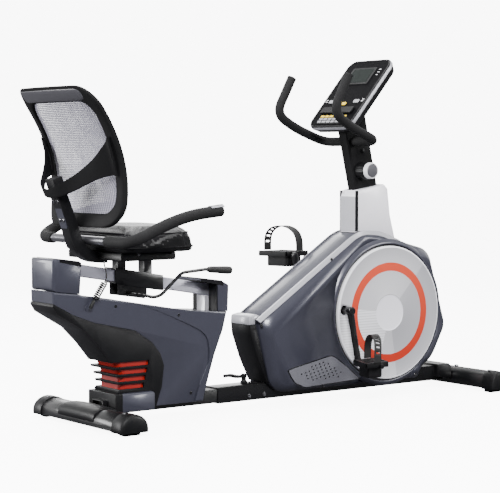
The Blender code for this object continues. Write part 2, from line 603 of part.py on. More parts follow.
def seat_handlebar():
    half = rounded(bar_path(), 0.050, 4)
    half[1:1] = [Vector((half[0].x, -y, half[0].z)) for y in (0.125, 0.175, 0.200)]
    half[-1] = half[-1] + (half[-2] - half[-1]).normalized() * 0.006
    left = [Vector((p.x, -p.y, p.z)) for p in half]
    path = left[::-1] + half[1:]
    spots = frames(path, (0, 0, 1))
    rings = [[p + s * a + u * b for a, b in circle(TUBE_R, 12)] for p, s, u in spots]
    rings += [[p + s * a + u * b for a, b in circle(TUBE_R - TUBE_WALL, 12)] for p, s, u in spots[::-1]]
    loft("seat_handlebar", rings, "steel", loop=True)
    for side_name, side in SIDES:
        starts = (0.125, 0.175, 0.200) if side < 0 else (0.175, 0.200)
        arm = rounded(bar_path(), 0.050, 4)
        grip = [Vector((arm[0].x, -y, arm[0].z)) for y in starts] + arm[1:]
        grip = [Vector((p.x, p.y * -side, p.z)) for p in grip]
        rings = []
        spots = frames(grip, (0, 0, 1))
        for p, s, u in spots:
            rings.append([p + s * a + u * b for a, b in circle(GRIP_R, 14)])
        for p, s, u in spots[::-1]:
            rings.append([p + s * a + u * b for a, b in circle(TUBE_R + GAP, 14)])
        loft(f"seat_grip_{side_name}", rings, "foam", loop=True)
        a, b = grip[-2], grip[-1]
        along = (b - a).normalized()
        plate = []
        for t in (0.018, 0.062):
            centre = a + along * t
            s = along.cross(Vector((0, 0, 1))).normalized()
            u = s.cross(along)
            arc = [radians(40 + 100 * i / 6) for i in range(7)]
            outer = [centre + s * (GRIP_R + 0.0022) * cos(q) + u * (GRIP_R + 0.0022) * sin(q) for q in arc]
            inner = [centre + s * (GRIP_R + GAP) * cos(q) + u * (GRIP_R + GAP) * sin(q) for q in arc[::-1]]
            plate.append(outer + inner)
        loft(f"pulse_sensor_{side_name}", plate, "steel")


def pulse_lead():
    """Lead from under the seat, with a curly stretch down to a plug on the housing."""
    route = smooth(LEAD_ROUTE, 4)
    curve = bpy.data.curves.new("pulse_lead", "CURVE")
    curve.dimensions = "3D"
    spline = curve.splines.new("POLY")
    spline.points.add(len(route) - 1)
    for point, place in zip(spline.points, route):
        point.co = (*place, 1)
    curve.bevel_depth = LEAD_R
    curve.bevel_resolution = 2
    curve.use_fill_caps = True
    curve.materials.append(MATERIALS["rubber"])
    bpy.context.scene.collection.objects.link(bpy.data.objects.new("pulse_lead", curve))
    top, low = COIL_ENDS
    along = (low - top).normalized()
    sweep("pulse_coil", [top + along * 0.0004, low], circle(COIL_R, 12), "rubber", up=(0, 1, 0))
    plug_top = low + along * GAP
    plug = [plug_top, plug_top + along * 0.014, Vector((-0.7090, -0.0760, 0.3565))]
    sweep("pulse_plug", plug, circle(0.0050, 10), "rubber", up=(0, 1, 0))


# ---------------------------------------------------------------- front housing
FRONT_OUTLINE = [(-0.086, 0.2820), (0.312, 0.5370), (0.350, 0.5500), (0.425, 0.5480), (0.515, 0.5140),
                 (0.628, 0.4850), (0.654, 0.4600), (0.712, 0.2700), (0.728, 0.2200), (0.668, 0.1120),
                 (0.615, 0.0780), (0.605, 0.0462), (0.003, 0.0462), (-0.033, 0.0760)]
def offset(outline, distance):
    """The outline moved inwards by distance, for an outline that runs clockwise."""
    count = len(outline)
    moved = []
    for i, point in enumerate(outline):
        before = Vector(outline[i - 1])
        here = Vector(point)
        after = Vector(outline[(i + 1) % count])
        first = (here - before).normalized()
        second = (after - here).normalized()
        normal = (Vector((first.y, -first.x)) + Vector((second.y, -second.x))).normalized()
        stretch = max(normal.dot(Vector((first.y, -first.x))), 0.5)
        moved.append(tuple(here + normal * (distance / stretch)))
    return moved


def front_housing():
    inner = offset(FRONT_OUTLINE, WALL)
    low = [(x, z) if z > 0.06 else (x, 0.030) for x, z in inner]
    for side_name, side in SIDES:
        shoulder = side * FRONT_TOP_HALF
        outer = side * FRONT_HALF
        rings = [[(x, side * GAP / 2, z) for x, z in FRONT_OUTLINE], [(x, shoulder, z) for x, z in FRONT_OUTLINE],
                 [(x, outer, z) for x, z in offset(FRONT_OUTLINE, CHAMFER)]]
        shell = loft(f"front_shell_{side_name}", rings, "grey_shell")
        core = [[(x, -side * 0.01, z) for x, z in low], [(x, shoulder - side * 0.002, z) for x, z in low],
                [(x, outer - side * 0.005, z) for x, z in offset(low, CHAMFER)]]
        cut(shell, loft(f"front_cavity_{side_name}_tool", core, "grey_shell"))
        cut(shell, box(f"beam_tunnel_{side_name}_tool", (-0.080, -0.0334, 0.020), (0.680, 0.0334, 0.0776), "grey_shell"))
        cut(shell, cylinder_y(f"crank_hole_{side_name}_tool", CRANK, 0.0160, *span(side, 0.05, 0.12), "grey_shell"))
        x, z, radius = DISC
        y0, y1 = span(side, FRONT_HALF - 0.0028, 0.1)
        cut(shell, cylinder_y(f"disc_seat_{side_name}_tool", (x, z), radius + 0.006, y0, y1, "grey_shell", 64))
        mast_hole = (0.335, 0.455)
        cut(shell, box(f"mast_hole_{side_name}_tool", (mast_hole[0], -0.030, 0.500), (mast_hole[1], 0.030, 0.600),
                       "grey_shell"))
        face = outer - side * 0.0024
        profile = [(radius, face), (radius, outer + side * 0.0075), (radius - 0.004, outer + side * 0.0090),
                   (0.062, outer + side * 0.0105), (0.058, outer + side * 0.0085)]
        disc = turned(f"side_disc_{side_name}", profile, (x, z), "disc", 48)
        cut(disc, cylinder_y(f"disc_hole_{side_name}_tool", CRANK, 0.0160, *span(side, 0.05, 0.12), "disc"))


def nose_cover():
    """Dark end piece that closes the rear of the front housing."""
    outline = [(-0.110, 0.2680), (-0.106, 0.2330), (-0.076, 0.1520), (-0.040, 0.0800), (-0.0345, 0.0800),
               (-0.0868, 0.2680)]
    prism("nose_cover", outline, -0.052, 0.052, "black_plastic", 0.010, 2,
          lambda e: all(v.co.x < -0.035 for v in e.verts) and abs(e.verts[0].co.y - e.verts[1].co.y) < 1e-6
          and all(not abs(v.co.x - (-0.0868 + (0.268 - v.co.z) * 0.278)) < 0.003 for v in e.verts))


def top_trim():
    """Sections of the pale strip along the front housing's left shoulder."""
    top = FRONT_OUTLINE[:5]
    lifted = offset_open(top, -0.0040)
    base = offset_open(top, -0.0005)
    rings = []
    for i, width in enumerate(STRIP_WIDTHS):
        bx, bz = base[i]
        lx, lz = lifted[i]
        sx, sz = offset_open(top, width)[i]
        outer_y = FRONT_TOP_HALF + (FRONT_HALF - FRONT_TOP_HALF) * width / CHAMFER
        rings.append([(bx, FRONT_TOP_HALF + 0.0004, bz), (sx, outer_y + 0.0006, sz + 0.0004),
                      (sx, outer_y + 0.0050, sz + 0.0025), (lx, FRONT_TOP_HALF + 0.0030, lz)])
    return rings


def offset_open(points, distance):
    """Points of an open line, each moved to the line's right by distance."""
    moved = []
    for i, point in enumerate(points):
        here = Vector(point)
        first = (here - Vector(points[i - 1])).normalized() if i else None
        second = (Vector(points[i + 1]) - here).normalized() if i < len(points) - 1 else None
        first = first or second
        second = second or first
        normal = (Vector((first.y, -first.x)) + Vector((second.y, -second.x))).normalized()
        stretch = max(normal.dot(Vector((first.y, -first.x))), 0.5)
        moved.append(tuple(here + normal * (distance / stretch)))
    return moved


def trims():
    for side_name, side in SIDES:
        rings = [[(x, side * y, z) for x, y, z in ring] for ring in top_trim()]
        loft(f"shoulder_trim_{side_name}", rings, "white_cover")
    cap = [(-0.1100, 0.2684), (-0.1080, 0.2960), (-0.0780, 0.3010), (-0.0700, 0.2935), (-0.0868, 0.2826),
           (-0.0868, 0.2684)]
    prism("nose_cap", cap, -0.050, 0.050, "silver_trim", 0.006, 2,
          lambda e: all(v.co.z > 0.29 and v.co.x < -0.075 for v in e.verts))


# ---------------------------------------------------------------- mast and console
def mast():
    """Bent upright tube that carries the handlebar, the knob and the console."""
    outline = [(0.3840, 0.4700), (0.3520, 0.6900), (0.3060, 0.8865), (0.3890, 0.9570), (0.4480, 0.6960),
               (0.4390, 0.4700), (0.4390, 0.0774), (0.3890, 0.0774)]
    tube = prism("mast", outline, -0.0215, 0.0215, "black_paint", 0.004, 1,
                 lambda e: abs(e.verts[0].co.z - e.verts[1].co.z) > 0.1)
    bore = [(x, z if z > 0.1 else 0.060) for x, z in offset(outline, TUBE_WALL)]
    cut(tube, prism("mast_bore_tool", bore, -0.0190, 0.0190, "black_paint"))
    cut(tube, sweep("bar_hole_tool", [Vector((BAR_X, -0.1, BAR_Z)), Vector((BAR_X, 0.1, BAR_Z))],
                    circle(FRONT_BAR_R + 0.0006, 16), "black_paint", up=(0, 0, 1)))


def mast_cover():
    outline = [(0.336, 0.5462), (0.336, 0.6660), (0.345, 0.6860), (0.462, 0.7050), (0.478, 0.6900),
               (0.490, 0.6000), (0.514, 0.5156), (0.4255, 0.5488), (0.350, 0.5508)]
    cover = prism("mast_cover", outline, -0.040, 0.040, "white_cover", 0.006, 2,
                  lambda e: abs(e.verts[0].co.y - e.verts[1].co.y) < 1e-6 and
                  not all(v.co.z < 0.56 for v in e.verts))
    tunnel = [(0.346, 0.5000), (0.346, 0.7050), (0.451, 0.7200), (0.451, 0.5000)]
    cut(cover, prism("cover_tunnel_tool", tunnel, -0.0222, 0.0222, "white_cover"))


def tension_knob():
    profile = [(0.0240, -0.0219), (0.0290, -0.0260), (0.0290, -0.0600), (0.0260, -0.0640), (0.0265, -0.0780),
               (0.0220, -0.0810)]
    turned("tension_knob", profile, KNOB, "black_plastic", 24, origin=(KNOB[0], -0.0219, KNOB[1]))


def front_handlebar():
    """One tube through the mast, its ends bent back and up into two horns."""
    half = [(BAR_X, 0, BAR_Z), (BAR_X, -0.135, BAR_Z), (0.224, -0.143, 0.892), (0.150, -0.147, 0.938),
            (0.214, -0.145, 1.058)]
    right = rounded(half, 0.045, 4)
    left = [Vector((p.x, -p.y, p.z)) for p in right]
    sweep("front_handlebar", left[::-1] + right[1:], circle(FRONT_BAR_R, 14), "foam", up=(0, 0, 1))


def console_point(across, up, out):
    """A point on the console: across to the left, up the face, out of the face."""
    tilt = CONSOLE_TILT
    rise = Vector((sin(tilt), 0, cos(tilt)))
    normal = Vector((-cos(tilt), 0, sin(tilt)))
    return CONSOLE_LOW + rise * up + normal * out + Vector((0, across, 0))


def console_loop(inset, depth, corner=0.036):
    width, length, _ = CONSOLE_SIZE
    half = width / 2 - inset
    radius = corner - inset
    ring = []
    for cy, cz, start in ((half - radius, length - inset - radius, 0), (radius - half, length - inset - radius, 90),
                          (radius - half, inset + radius, 180), (half - radius, inset + radius, 270)):
        for i in range(5):
            a = radians(start + 90 * i / 4)
            ring.append(console_point(cy + radius * cos(a), cz + radius * sin(a), -depth))
    return ring


def console():
    depth = CONSOLE_SIZE[2]
    shell = loft("console_shell", [console_loop(0.004, 0.0), console_loop(0.0, 0.006), console_loop(0.0, 0.014),
                                   console_loop(0.010, depth - 0.008), console_loop(0.026, depth)], "black_plastic")
    pocket = [console_loop(0.0080, -0.01), console_loop(0.0080, 0.0030)]
    cut(shell, loft("console_pocket_tool", pocket, "black_plastic"))
    face = loft("console_face", [console_loop(0.0084, 0.0010), console_loop(0.0084, 0.0027)], "black_plastic")
    for name, across, up, width, height, look in KEYS:
        for tool, grow, top, bottom in ((True, 0.0005, 0.01, -0.0024), (False, 0.0, 0.0022, -0.0006)):
            rings = []
            for out in (top, bottom):
                rings.append([console_point(across + a * (width / 2 + grow), up + b * (height / 2 + grow), out)
                              for a, b in ((-1, -1), (1, -1), (1, 1), (-1, 1))])
            if tool:
                cut(face, loft(name + "_tool", rings, "black_plastic"))
            else:
                loft(name, rings, look, origin=tuple(console_point(across, up, 0)))


# ---------------------------------------------------------------- drive
def pedal_axis(side):
    """The pedal's axis, x and z: right one forward and down, left one opposite."""
    lean = CRANK_LEAN if side < 0 else CRANK_LEAN + pi
    return (CRANK[0] + CRANK_LENGTH * sin(lean), CRANK[1] - CRANK_LENGTH * cos(lean))


def cranks():
    cx, cz = CRANK
    axle = cylinder_y("crank_axle", CRANK, 0.0100, -0.1120, 0.1120, "steel", 16, origin=(cx, 0, cz))
    for side_name, side in SIDES:
        px, pz = pedal_axis(side)
        root, tip = Vector((cx, side * 0.1230, cz)), Vector((px, side * 0.1370, pz))
        along = (tip - root).normalized()
        path = [root, root.lerp(tip, 0.5), tip]
        across = Vector((along.z, 0, -along.x)).normalized()
        rings = []
        for t, half_width, half_thick in ((-0.05, 0.008, 0.006), (0.0, 0.0135, 0.0085), (0.12, 0.0125, 0.0075),
                                          (0.6, 0.0105, 0.0065), (1.0, 0.0125, 0.0068), (1.06, 0.008, 0.0055)):
            middle = root.lerp(tip, t)
            rings.append([middle + across * (half_width * a) + Vector((0, half_thick * b, 0))
                          for a, b in ((-1, -0.6), (-0.7, -1), (0.7, -1), (1, -0.6), (1, 0.6), (0.7, 1), (-0.7, 1),
                                       (-1, 0.6))])
        arm = loft(f"crank_arm_{side_name}", rings, "black_paint", origin=(cx, side * 0.123, cz))
        join(arm, cylinder_y(f"crank_boss_{side_name}_tool", CRANK, 0.0135, *span(side, 0.1125, 0.1330), "black_paint"))
    return axle


def pedals():
    for side_name, side in SIDES:
        px, pz = pedal_axis(side)
        y0, y1 = 0.1460, 0.2500
        shear = 0.018
        front, half = 0.048, 0.048
        corners = [(front + shear, y0), (front - shear, y1), (-half - shear, y1), (-half + shear, y0)]
        rings = [[(px + x, side * y, pz + z) for x, y in corners] for z in (-0.004, 0.014)]
        body = loft(f"pedal_{side_name}", rings, "black_plastic", origin=(px, side * PEDAL_Y, pz))
        weight = [[(px + x * 0.62, side * (0.156 + (y - y0) * 0.75), pz + z) for x, y in corners]
                  for z in (-0.038, -0.002)]
        join(body, loft(f"pedal_weight_{side_name}_tool", weight, "black_plastic"))
        join(body, cylinder_y(f"pedal_boss_{side_name}_tool", (px, pz), 0.0085, *span(side, 0.1448, 0.2560),
                              "black_plastic", 14))
        strap(side_name, side, px, pz)


def strap(side_name, side, px, pz):
    """Strap over the foot, from the pedal's inner edge up and round to its outer edge."""
    inner = Vector((px + 0.030, side * 0.1478, pz + 0.0145))
    outer = Vector((px - 0.022, side * 0.2560, pz + 0.0145))
    across = outer - inner
    height = 0.082
    bulge = 0.012
    rings = []
    for i in range(13):
        t = i / 12
        lean = 0.5 - 0.5 * cos(pi * t)
        arch = max(sin(pi * t), 0.0)
        place = inner + across * (lean * 0.9 + t * 0.1) + Vector((0, side * bulge * arch * t, height * arch ** 0.55))
        thick = 0.0013
        normal = Vector((0, 0, 1)) * sin(pi * t) - across.normalized() * cos(pi * t)
        wide = Vector((0.0125, 0, 0))
        rings.append([place - wide - normal * thick, place + wide - normal * thick,
                      place + wide + normal * thick, place - wide + normal * thick])
    loft(f"pedal_strap_{side_name}", rings, "rubber")


def magnet_pivot():
    return (FLYWHEEL[0] - 0.108, FLYWHEEL[1] + 0.076)


def drive(axle):
    """Crank pulley, belt, flywheel with its small pulley, and the brake magnets."""
    low, high = BELT_Y
    cx, cz = CRANK
    rim = PULLEY_R
    profile = [(0.0090, low), (0.040, low), (rim - 0.012, low + 0.004), (rim, low), (rim, high),
               (rim - 0.012, high - 0.004), (0.040, high), (0.0090, high), (0.0090, low)]
    join(axle, turned("drive_pulley_tool", profile, CRANK, "black_plastic", 40))
    fx, fz, radius = FLYWHEEL
    small = SMALL_PULLEY_R
    profile = [(0.006, -0.027), (0.006, -0.014), (0.020, -0.012), (radius - 0.022, -0.006), (radius - 0.018, -0.010),
               (radius, -0.010), (radius, 0.014), (radius - 0.018, 0.014), (radius - 0.022, 0.010), (0.020, 0.016),
               (small, low - 0.004), (small, high), (0.006, high + 0.002), (0.006, 0.059)]
    turned("flywheel", profile, (fx, fz), "cast_iron", 40, origin=(fx, 0, fz))
    spacing = hypot(fx - cx, fz - cz)
    heading = atan2(fz - cz, fx - cx)
    slope = (rim - small) / spacing
    spread = pi / 2 - slope
    rings = []
    for thick in (0.0005, 0.0025):
        loop = []
        for centre, size, start, end, steps in ((CRANK, rim, spread, 2 * pi - spread, 24),
                                                ((fx, fz), small, -spread, spread, 8)):
            for i in range(steps + 1):
                a = heading + start + (end - start) * i / steps
                loop.append((centre[0] + (size + thick) * cos(a), centre[1] + (size + thick) * sin(a)))
        rings.append(loop)
    y0, y1 = low + 0.001, high - 0.001
    belt = [[(x, y0, z) for x, z in rings[0]], [(x, y1, z) for x, z in rings[0]],
            [(x, y1, z) for x, z in rings[1]], [(x, y0, z) for x, z in rings[1]]]
    loft("drive_belt", belt, "rubber", loop=True)
    px, pz = magnet_pivot()
    arc = [radians(145 - 65 * i / 8) for i in range(9)]
    outer = [(fx + (radius + 0.018) * cos(a), fz + (radius + 0.018) * sin(a)) for a in arc]
    inner = [(fx + (radius + 0.004) * cos(a), fz + (radius + 0.004) * sin(a)) for a in arc[::-1]]
    shoe = prism("magnet_shoe", outer + inner, -0.012, 0.022, "cast_iron", origin=(px, 0, pz))
    join(shoe, cylinder_y("magnet_pin_tool", (px, pz), 0.0040, -0.024, 0.056, "steel", 12))


# ---------------------------------------------------------------- assembly
rear_frame()
main_beam()
stabilisers()
base_cover()
clamp_lever()
rear_housing()
red_liner()
end_blocks()
rail_and_post()
carriage()
seat_lever()
seat_frame()
cushion()
backrest()
lumbar_support()
seat_handlebar()
pulse_lead()
front_housing()
nose_cover()
trims()
mast()
mast_cover()
tension_knob()
front_handlebar()
console()
drive(cranks())
pedals()
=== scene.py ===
"""Looks of a recumbent exercise bike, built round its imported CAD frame.

Metres in the row frame: +Z up, +X to the front, +Y to the rider's left.
"""

from math import cos, pi, radians, sin

import bmesh
import bpy
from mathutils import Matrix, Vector


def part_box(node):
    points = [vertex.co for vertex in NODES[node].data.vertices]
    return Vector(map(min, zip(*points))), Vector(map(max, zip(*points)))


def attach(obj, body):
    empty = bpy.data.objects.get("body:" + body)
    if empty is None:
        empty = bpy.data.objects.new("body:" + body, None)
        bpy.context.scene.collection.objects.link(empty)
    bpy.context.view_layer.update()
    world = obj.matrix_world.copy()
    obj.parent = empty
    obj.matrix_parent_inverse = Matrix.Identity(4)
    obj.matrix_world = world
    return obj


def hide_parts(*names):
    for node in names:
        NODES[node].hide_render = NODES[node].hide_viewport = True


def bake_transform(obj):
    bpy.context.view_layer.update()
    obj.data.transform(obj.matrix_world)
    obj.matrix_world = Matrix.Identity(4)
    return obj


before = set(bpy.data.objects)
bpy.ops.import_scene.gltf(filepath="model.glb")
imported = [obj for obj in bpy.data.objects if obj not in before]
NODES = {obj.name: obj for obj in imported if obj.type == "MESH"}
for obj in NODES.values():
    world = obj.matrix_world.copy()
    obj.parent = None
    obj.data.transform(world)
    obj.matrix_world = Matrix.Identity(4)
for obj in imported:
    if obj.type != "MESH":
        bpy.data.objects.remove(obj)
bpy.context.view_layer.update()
SIDES = (("right", -1), ("left", 1))
GAP = 0.0004
DISC = (0.438, 0.28, 0.221)            # side disc: x, z and radius
CRANK = (0.243, 0.298)                  # crank axis: x and z

# ---------------------------------------------------------------- camera, light, floor
BRIGHT_SIDE = (0.5, 0.62, 0.6)        # the surround is brightest this way
WORLD_DARK, WORLD_BRIGHT = 0.1, 1.3    # what it lights the object with
WORLD_SEEN, FLOOR_SEEN = 9.0, 8.0       # how bright the camera sees it and the floor


def camera():
    """The photograph's view, solved from the base, the rail and the discs."""
    yaw, pitch = radians(37.0), radians(3.15)
    cam = bpy.data.objects.new("camera", bpy.data.cameras.new("camera"))
    bpy.context.scene.collection.objects.link(cam)
    cam.location = (-3.22, -4.18, 0.8)
    forward = Vector((sin(yaw) * cos(pitch), cos(yaw) * cos(pitch), -sin(pitch)))
    cam.rotation_euler = forward.to_track_quat("-Z", "Y").to_euler()
    cam.data.sensor_width = 36
    cam.data.lens = 119.0
    cam.data.clip_end = 100
    bpy.context.scene.camera = cam


def softbox(name, place, target, width, height, power):
    lamp = bpy.data.lights.new(name, "AREA")
    lamp.shape = "RECTANGLE"
    lamp.size = width
    lamp.size_y = height
    lamp.energy = power
    obj = bpy.data.objects.new(name, lamp)
    obj.location = place
    obj.rotation_euler = (Vector(target) - Vector(place)).to_track_quat("-Z", "Y").to_euler()
    bpy.context.scene.collection.objects.link(obj)


def studio():
    """A white surround for the camera; the object itself is lit softly from behind, above and its rear end."""
    world = bpy.data.worlds.new("studio")
    bpy.context.scene.world = world
    world.use_nodes = True
    tree = world.node_tree
    background = tree.nodes["Background"]
    background.inputs["Color"].default_value = (1, 1, 1, 1)
    place = tree.nodes.new("ShaderNodeTexCoord").outputs["Generated"]
    toward = tree.nodes.new("ShaderNodeVectorMath")
    toward.operation = "DOT_PRODUCT"
    tree.links.new(place, toward.inputs[0])
    toward.inputs[1].default_value = BRIGHT_SIDE
    gradient = tree.nodes.new("ShaderNodeMapRange")
    gradient.interpolation_type = "SMOOTHSTEP"
    for socket, value in (("From Min", -0.6), ("From Max", 0.9), ("To Min", WORLD_DARK),
                          ("To Max", WORLD_BRIGHT)):
        gradient.inputs[socket].default_value = value
    tree.links.new(toward.outputs["Value"], gradient.inputs["Value"])
    seen = tree.nodes.new("ShaderNodeMix")
    tree.links.new(tree.nodes.new("ShaderNodeLightPath").outputs["Is Camera Ray"], seen.inputs[0])
    tree.links.new(gradient.outputs["Result"], seen.inputs[2])
    seen.inputs[3].default_value = WORLD_SEEN
    tree.links.new(seen.outputs[0], background.inputs["Strength"])
    softbox("rear", (-3.8, 2.2, 1.3), (-0.3, 0, 0.45), 2.6, 1.6, 230)
    softbox("top", (0.1, 0.3, 3.2), (0, 0, 0.4), 3.2, 1.6, 130)
    softbox("key", (-2.3, -3.4, 2.9), (0, 0, 0.4), 1.6, 1.2, 380)
    softbox("side", (2.9, -3.6, 2.1), (0.4, 0, 0.5), 1.8, 1.3, 120)
    softbox("back", (1.8, 3.6, 2.2), (0, 0, 0.5), 2.0, 2.0, 60)
    bm = bmesh.new()
    for x, y in ((-30, -30), (30, -30), (30, 30), (-30, 30)):
        bm.verts.new((x, y, 0))
    bm.faces.new(bm.verts)
    mesh = bpy.data.meshes.new("floor")
    bm.to_mesh(mesh)
    floor = bpy.data.objects.new("floor", mesh)
    bpy.context.scene.collection.objects.link(floor)
    mesh.materials.append(floor_look())


def floor_look():
    """White where it is seen, darker where the glossy parts mirror it."""
    look = Look("floor", (0.86, 0.86, 0.87), 0.6, mottle=0.01, mottle_scale=1.5)
    look.shader.inputs["Emission Color"].default_value = (1, 1, 1, 1)
    look.shader.inputs["Emission Strength"].default_value = FLOOR_SEEN
    dark = look.add("ShaderNodeBsdfDiffuse")
    dark.inputs["Color"].default_value = (0.1, 0.1, 0.11, 1)
    either = look.add("ShaderNodeMixShader")
    look.feed(either.inputs[0], look.add("ShaderNodeLightPath").outputs["Is Camera Ray"])
    look.feed(either.inputs[1], dark.outputs[0])
    look.feed(either.inputs[2], look.shader.outputs[0])
    look.feed(look.tree.nodes["Material Output"].inputs["Surface"], either.outputs[0])
    return look.material


# ---------------------------------------------------------------- materials
class Look:
    """A Principled material with short ways to add procedural detail."""

    def __init__(self, name, colour, roughness, metallic=0.0, mottle=0.08, mottle_scale=60, wear=0.06,
                 grain=None, stretch=None, **sockets):
        self.material = bpy.data.materials.new(name)
        self.material.use_nodes = True
        self.tree = self.material.node_tree
        self.shader = self.tree.nodes["Principled BSDF"]
        self.place = self.add("ShaderNodeTexCoord").outputs["Object"]
        if stretch:
            mapping = self.add("ShaderNodeMapping")
            mapping.inputs["Scale"].default_value = stretch
            self.tree.links.new(self.place, mapping.inputs["Vector"])
            self.place = mapping.outputs["Vector"]
        self.shader.inputs["Metallic"].default_value = metallic
        for socket, value in sockets.items():
            self.shader.inputs[socket.replace("_", " ")].default_value = value
        spots = self.noise(mottle_scale, 4)
        darker, lighter = [[min(c * (1 + change), 1) for c in colour] for change in (-mottle, mottle)]
        self.colour(self.mix(spots, darker, lighter))
        if wear:
            soft = self.noise(mottle_scale * 0.35, 3)
            self.link(self.span(soft, roughness - wear, roughness + wear), "Roughness")
        else:
            self.shader.inputs["Roughness"].default_value = roughness
        if grain:
            scale, strength = grain
            self.bump(self.noise(scale, 3), strength, 0.0006)

    def add(self, kind, **settings):
        node = self.tree.nodes.new(kind)
        for key, value in settings.items():
            setattr(node, key, value)
        return node

    def feed(self, socket, value):
        if isinstance(value, bpy.types.NodeSocket):
            self.tree.links.new(value, socket)
        else:
            socket.default_value = value

    def link(self, output, name):
        self.tree.links.new(output, self.shader.inputs[name])

    def colour(self, output):
        self.link(output, "Base Color")

    def noise(self, scale, detail=2, place=None):
        node = self.add("ShaderNodeTexNoise")
        node.inputs["Scale"].default_value = scale
        node.inputs["Detail"].default_value = detail
        self.tree.links.new(place or self.place, node.inputs["Vector"])
        return node.outputs["Fac"]

    def math(self, operation, first, second=0.0, third=None):
        node = self.add("ShaderNodeMath", operation=operation)
        self.feed(node.inputs[0], first)
        self.feed(node.inputs[1], second)
        if third is not None:
            self.feed(node.inputs[2], third)
        return node.outputs[0]

    def times(self, first, second):
        return self.math("MULTIPLY", first, second)

    def wave(self, along, pitch):
        """A sine along a coordinate, one cycle each pitch."""
        return self.math("SINE", self.times(along, 2 * pi / pitch))

    def span(self, factor, low, high, start=0.3, end=0.7):
        node = self.add("ShaderNodeMapRange")
        self.feed(node.inputs["Value"], factor)
        node.inputs["From Min"].default_value = start
        node.inputs["From Max"].default_value = end
        node.inputs["To Min"].default_value = low
        node.inputs["To Max"].default_value = high
        return node.outputs["Result"]

    def mix(self, factor, first, second):
        node = self.add("ShaderNodeMix", data_type="RGBA")
        self.feed(node.inputs[0], factor)
        for socket, value in ((node.inputs[6], first), (node.inputs[7], second)):
            self.feed(socket, value if isinstance(value, bpy.types.NodeSocket) else (*value, 1))
        return node.outputs[2]

    def axes(self):
        node = self.add("ShaderNodeSeparateXYZ")
        self.tree.links.new(self.place, node.inputs[0])
        return node.outputs

    def bump(self, height, strength, distance):
        node = self.add("ShaderNodeBump")
        node.inputs["Strength"].default_value = strength
        node.inputs["Distance"].default_value = distance
        self.tree.links.new(height, node.inputs["Height"])
        if self.shader.inputs["Normal"].is_linked:
            self.tree.links.new(self.shader.inputs["Normal"].links[0].from_socket, node.inputs["Normal"])
        self.link(node.outputs["Normal"], "Normal")


def leather(name, roughness, gloss):
    look = Look(name, (0.005, 0.005, 0.006), roughness, mottle=0.25, mottle_scale=35, wear=0.05,
                Specular_IOR_Level=gloss)
    cells = look.add("ShaderNodeTexVoronoi", feature="DISTANCE_TO_EDGE")
    cells.inputs["Scale"].default_value = 420
    look.tree.links.new(look.place, cells.inputs["Vector"])
    look.bump(look.span(cells.outputs["Distance"], 0, 1, 0.0, 0.25), 0.5, 0.0005)
    look.bump(look.noise(45, 2), 0.1, 0.0012)
    return look.material


def foam():
    look = Look("black_foam", (0.005, 0.005, 0.0056), 0.8, mottle=0.35, mottle_scale=500, wear=0.05,
                Specular_IOR_Level=0.3)
    look.bump(look.noise(1300, 3), 0.55, 0.0008)
    look.bump(look.noise(160, 2), 0.2, 0.001)
    return look.material


def flake(name, colour, roughness):
    """Glossy moulding with fine metallic flake under a clear coat."""
    look = Look(name, colour, roughness, metallic=0.3, mottle=0.05, mottle_scale=14, wear=0.03,
                Coat_Weight=0.45, Coat_Roughness=0.14)
    spark = look.noise(1900, 1)
    base = look.shader.inputs["Base Color"].links[0].from_socket
    look.colour(look.mix(look.span(spark, 0, 1, 0.62, 0.75), base, [min(c * 1.9, 1) for c in colour]))
    look.bump(look.noise(22, 2), 0.05, 0.002)
    return look.material


def weave():
    """Upright threads that drift a little, crossed by finer ribs, with small holes between."""
    look = Look("grey_mesh", (0.3, 0.29, 0.36), 0.75, mottle=0.1, mottle_scale=90, wear=0.05,
                Sheen_Weight=0.25)
    x, y, z = look.axes()
    drift = look.times(look.noise(9, 2), 0.014)
    lean = look.times(look.times(look.span(z, 1, 0, 0.7, 0.88), z), 0.22)
    across = look.math("ADD", look.math("ADD", y, drift), lean)
    post = look.wave(across, 0.0094)
    thin = look.wave(across, 0.0047)
    rib = look.wave(z, 0.005)
    hole = look.times(look.span(rib, 0, 1, 0.1, 0.55), look.span(thin, 0, 1, -0.3, 0.25))
    base = look.shader.inputs["Base Color"].links[0].from_socket
    look.colour(look.mix(look.span(post, 0, 1, -0.8, 0.8), base, (0.14, 0.135, 0.175)))
    look.bump(look.math("ADD", look.times(post, -0.5), look.times(rib, 0.2)), 0.6, 0.0008)
    look.link(look.span(hole, 1.0, 0.45, 0.2, 0.6), "Alpha")
    return look.material


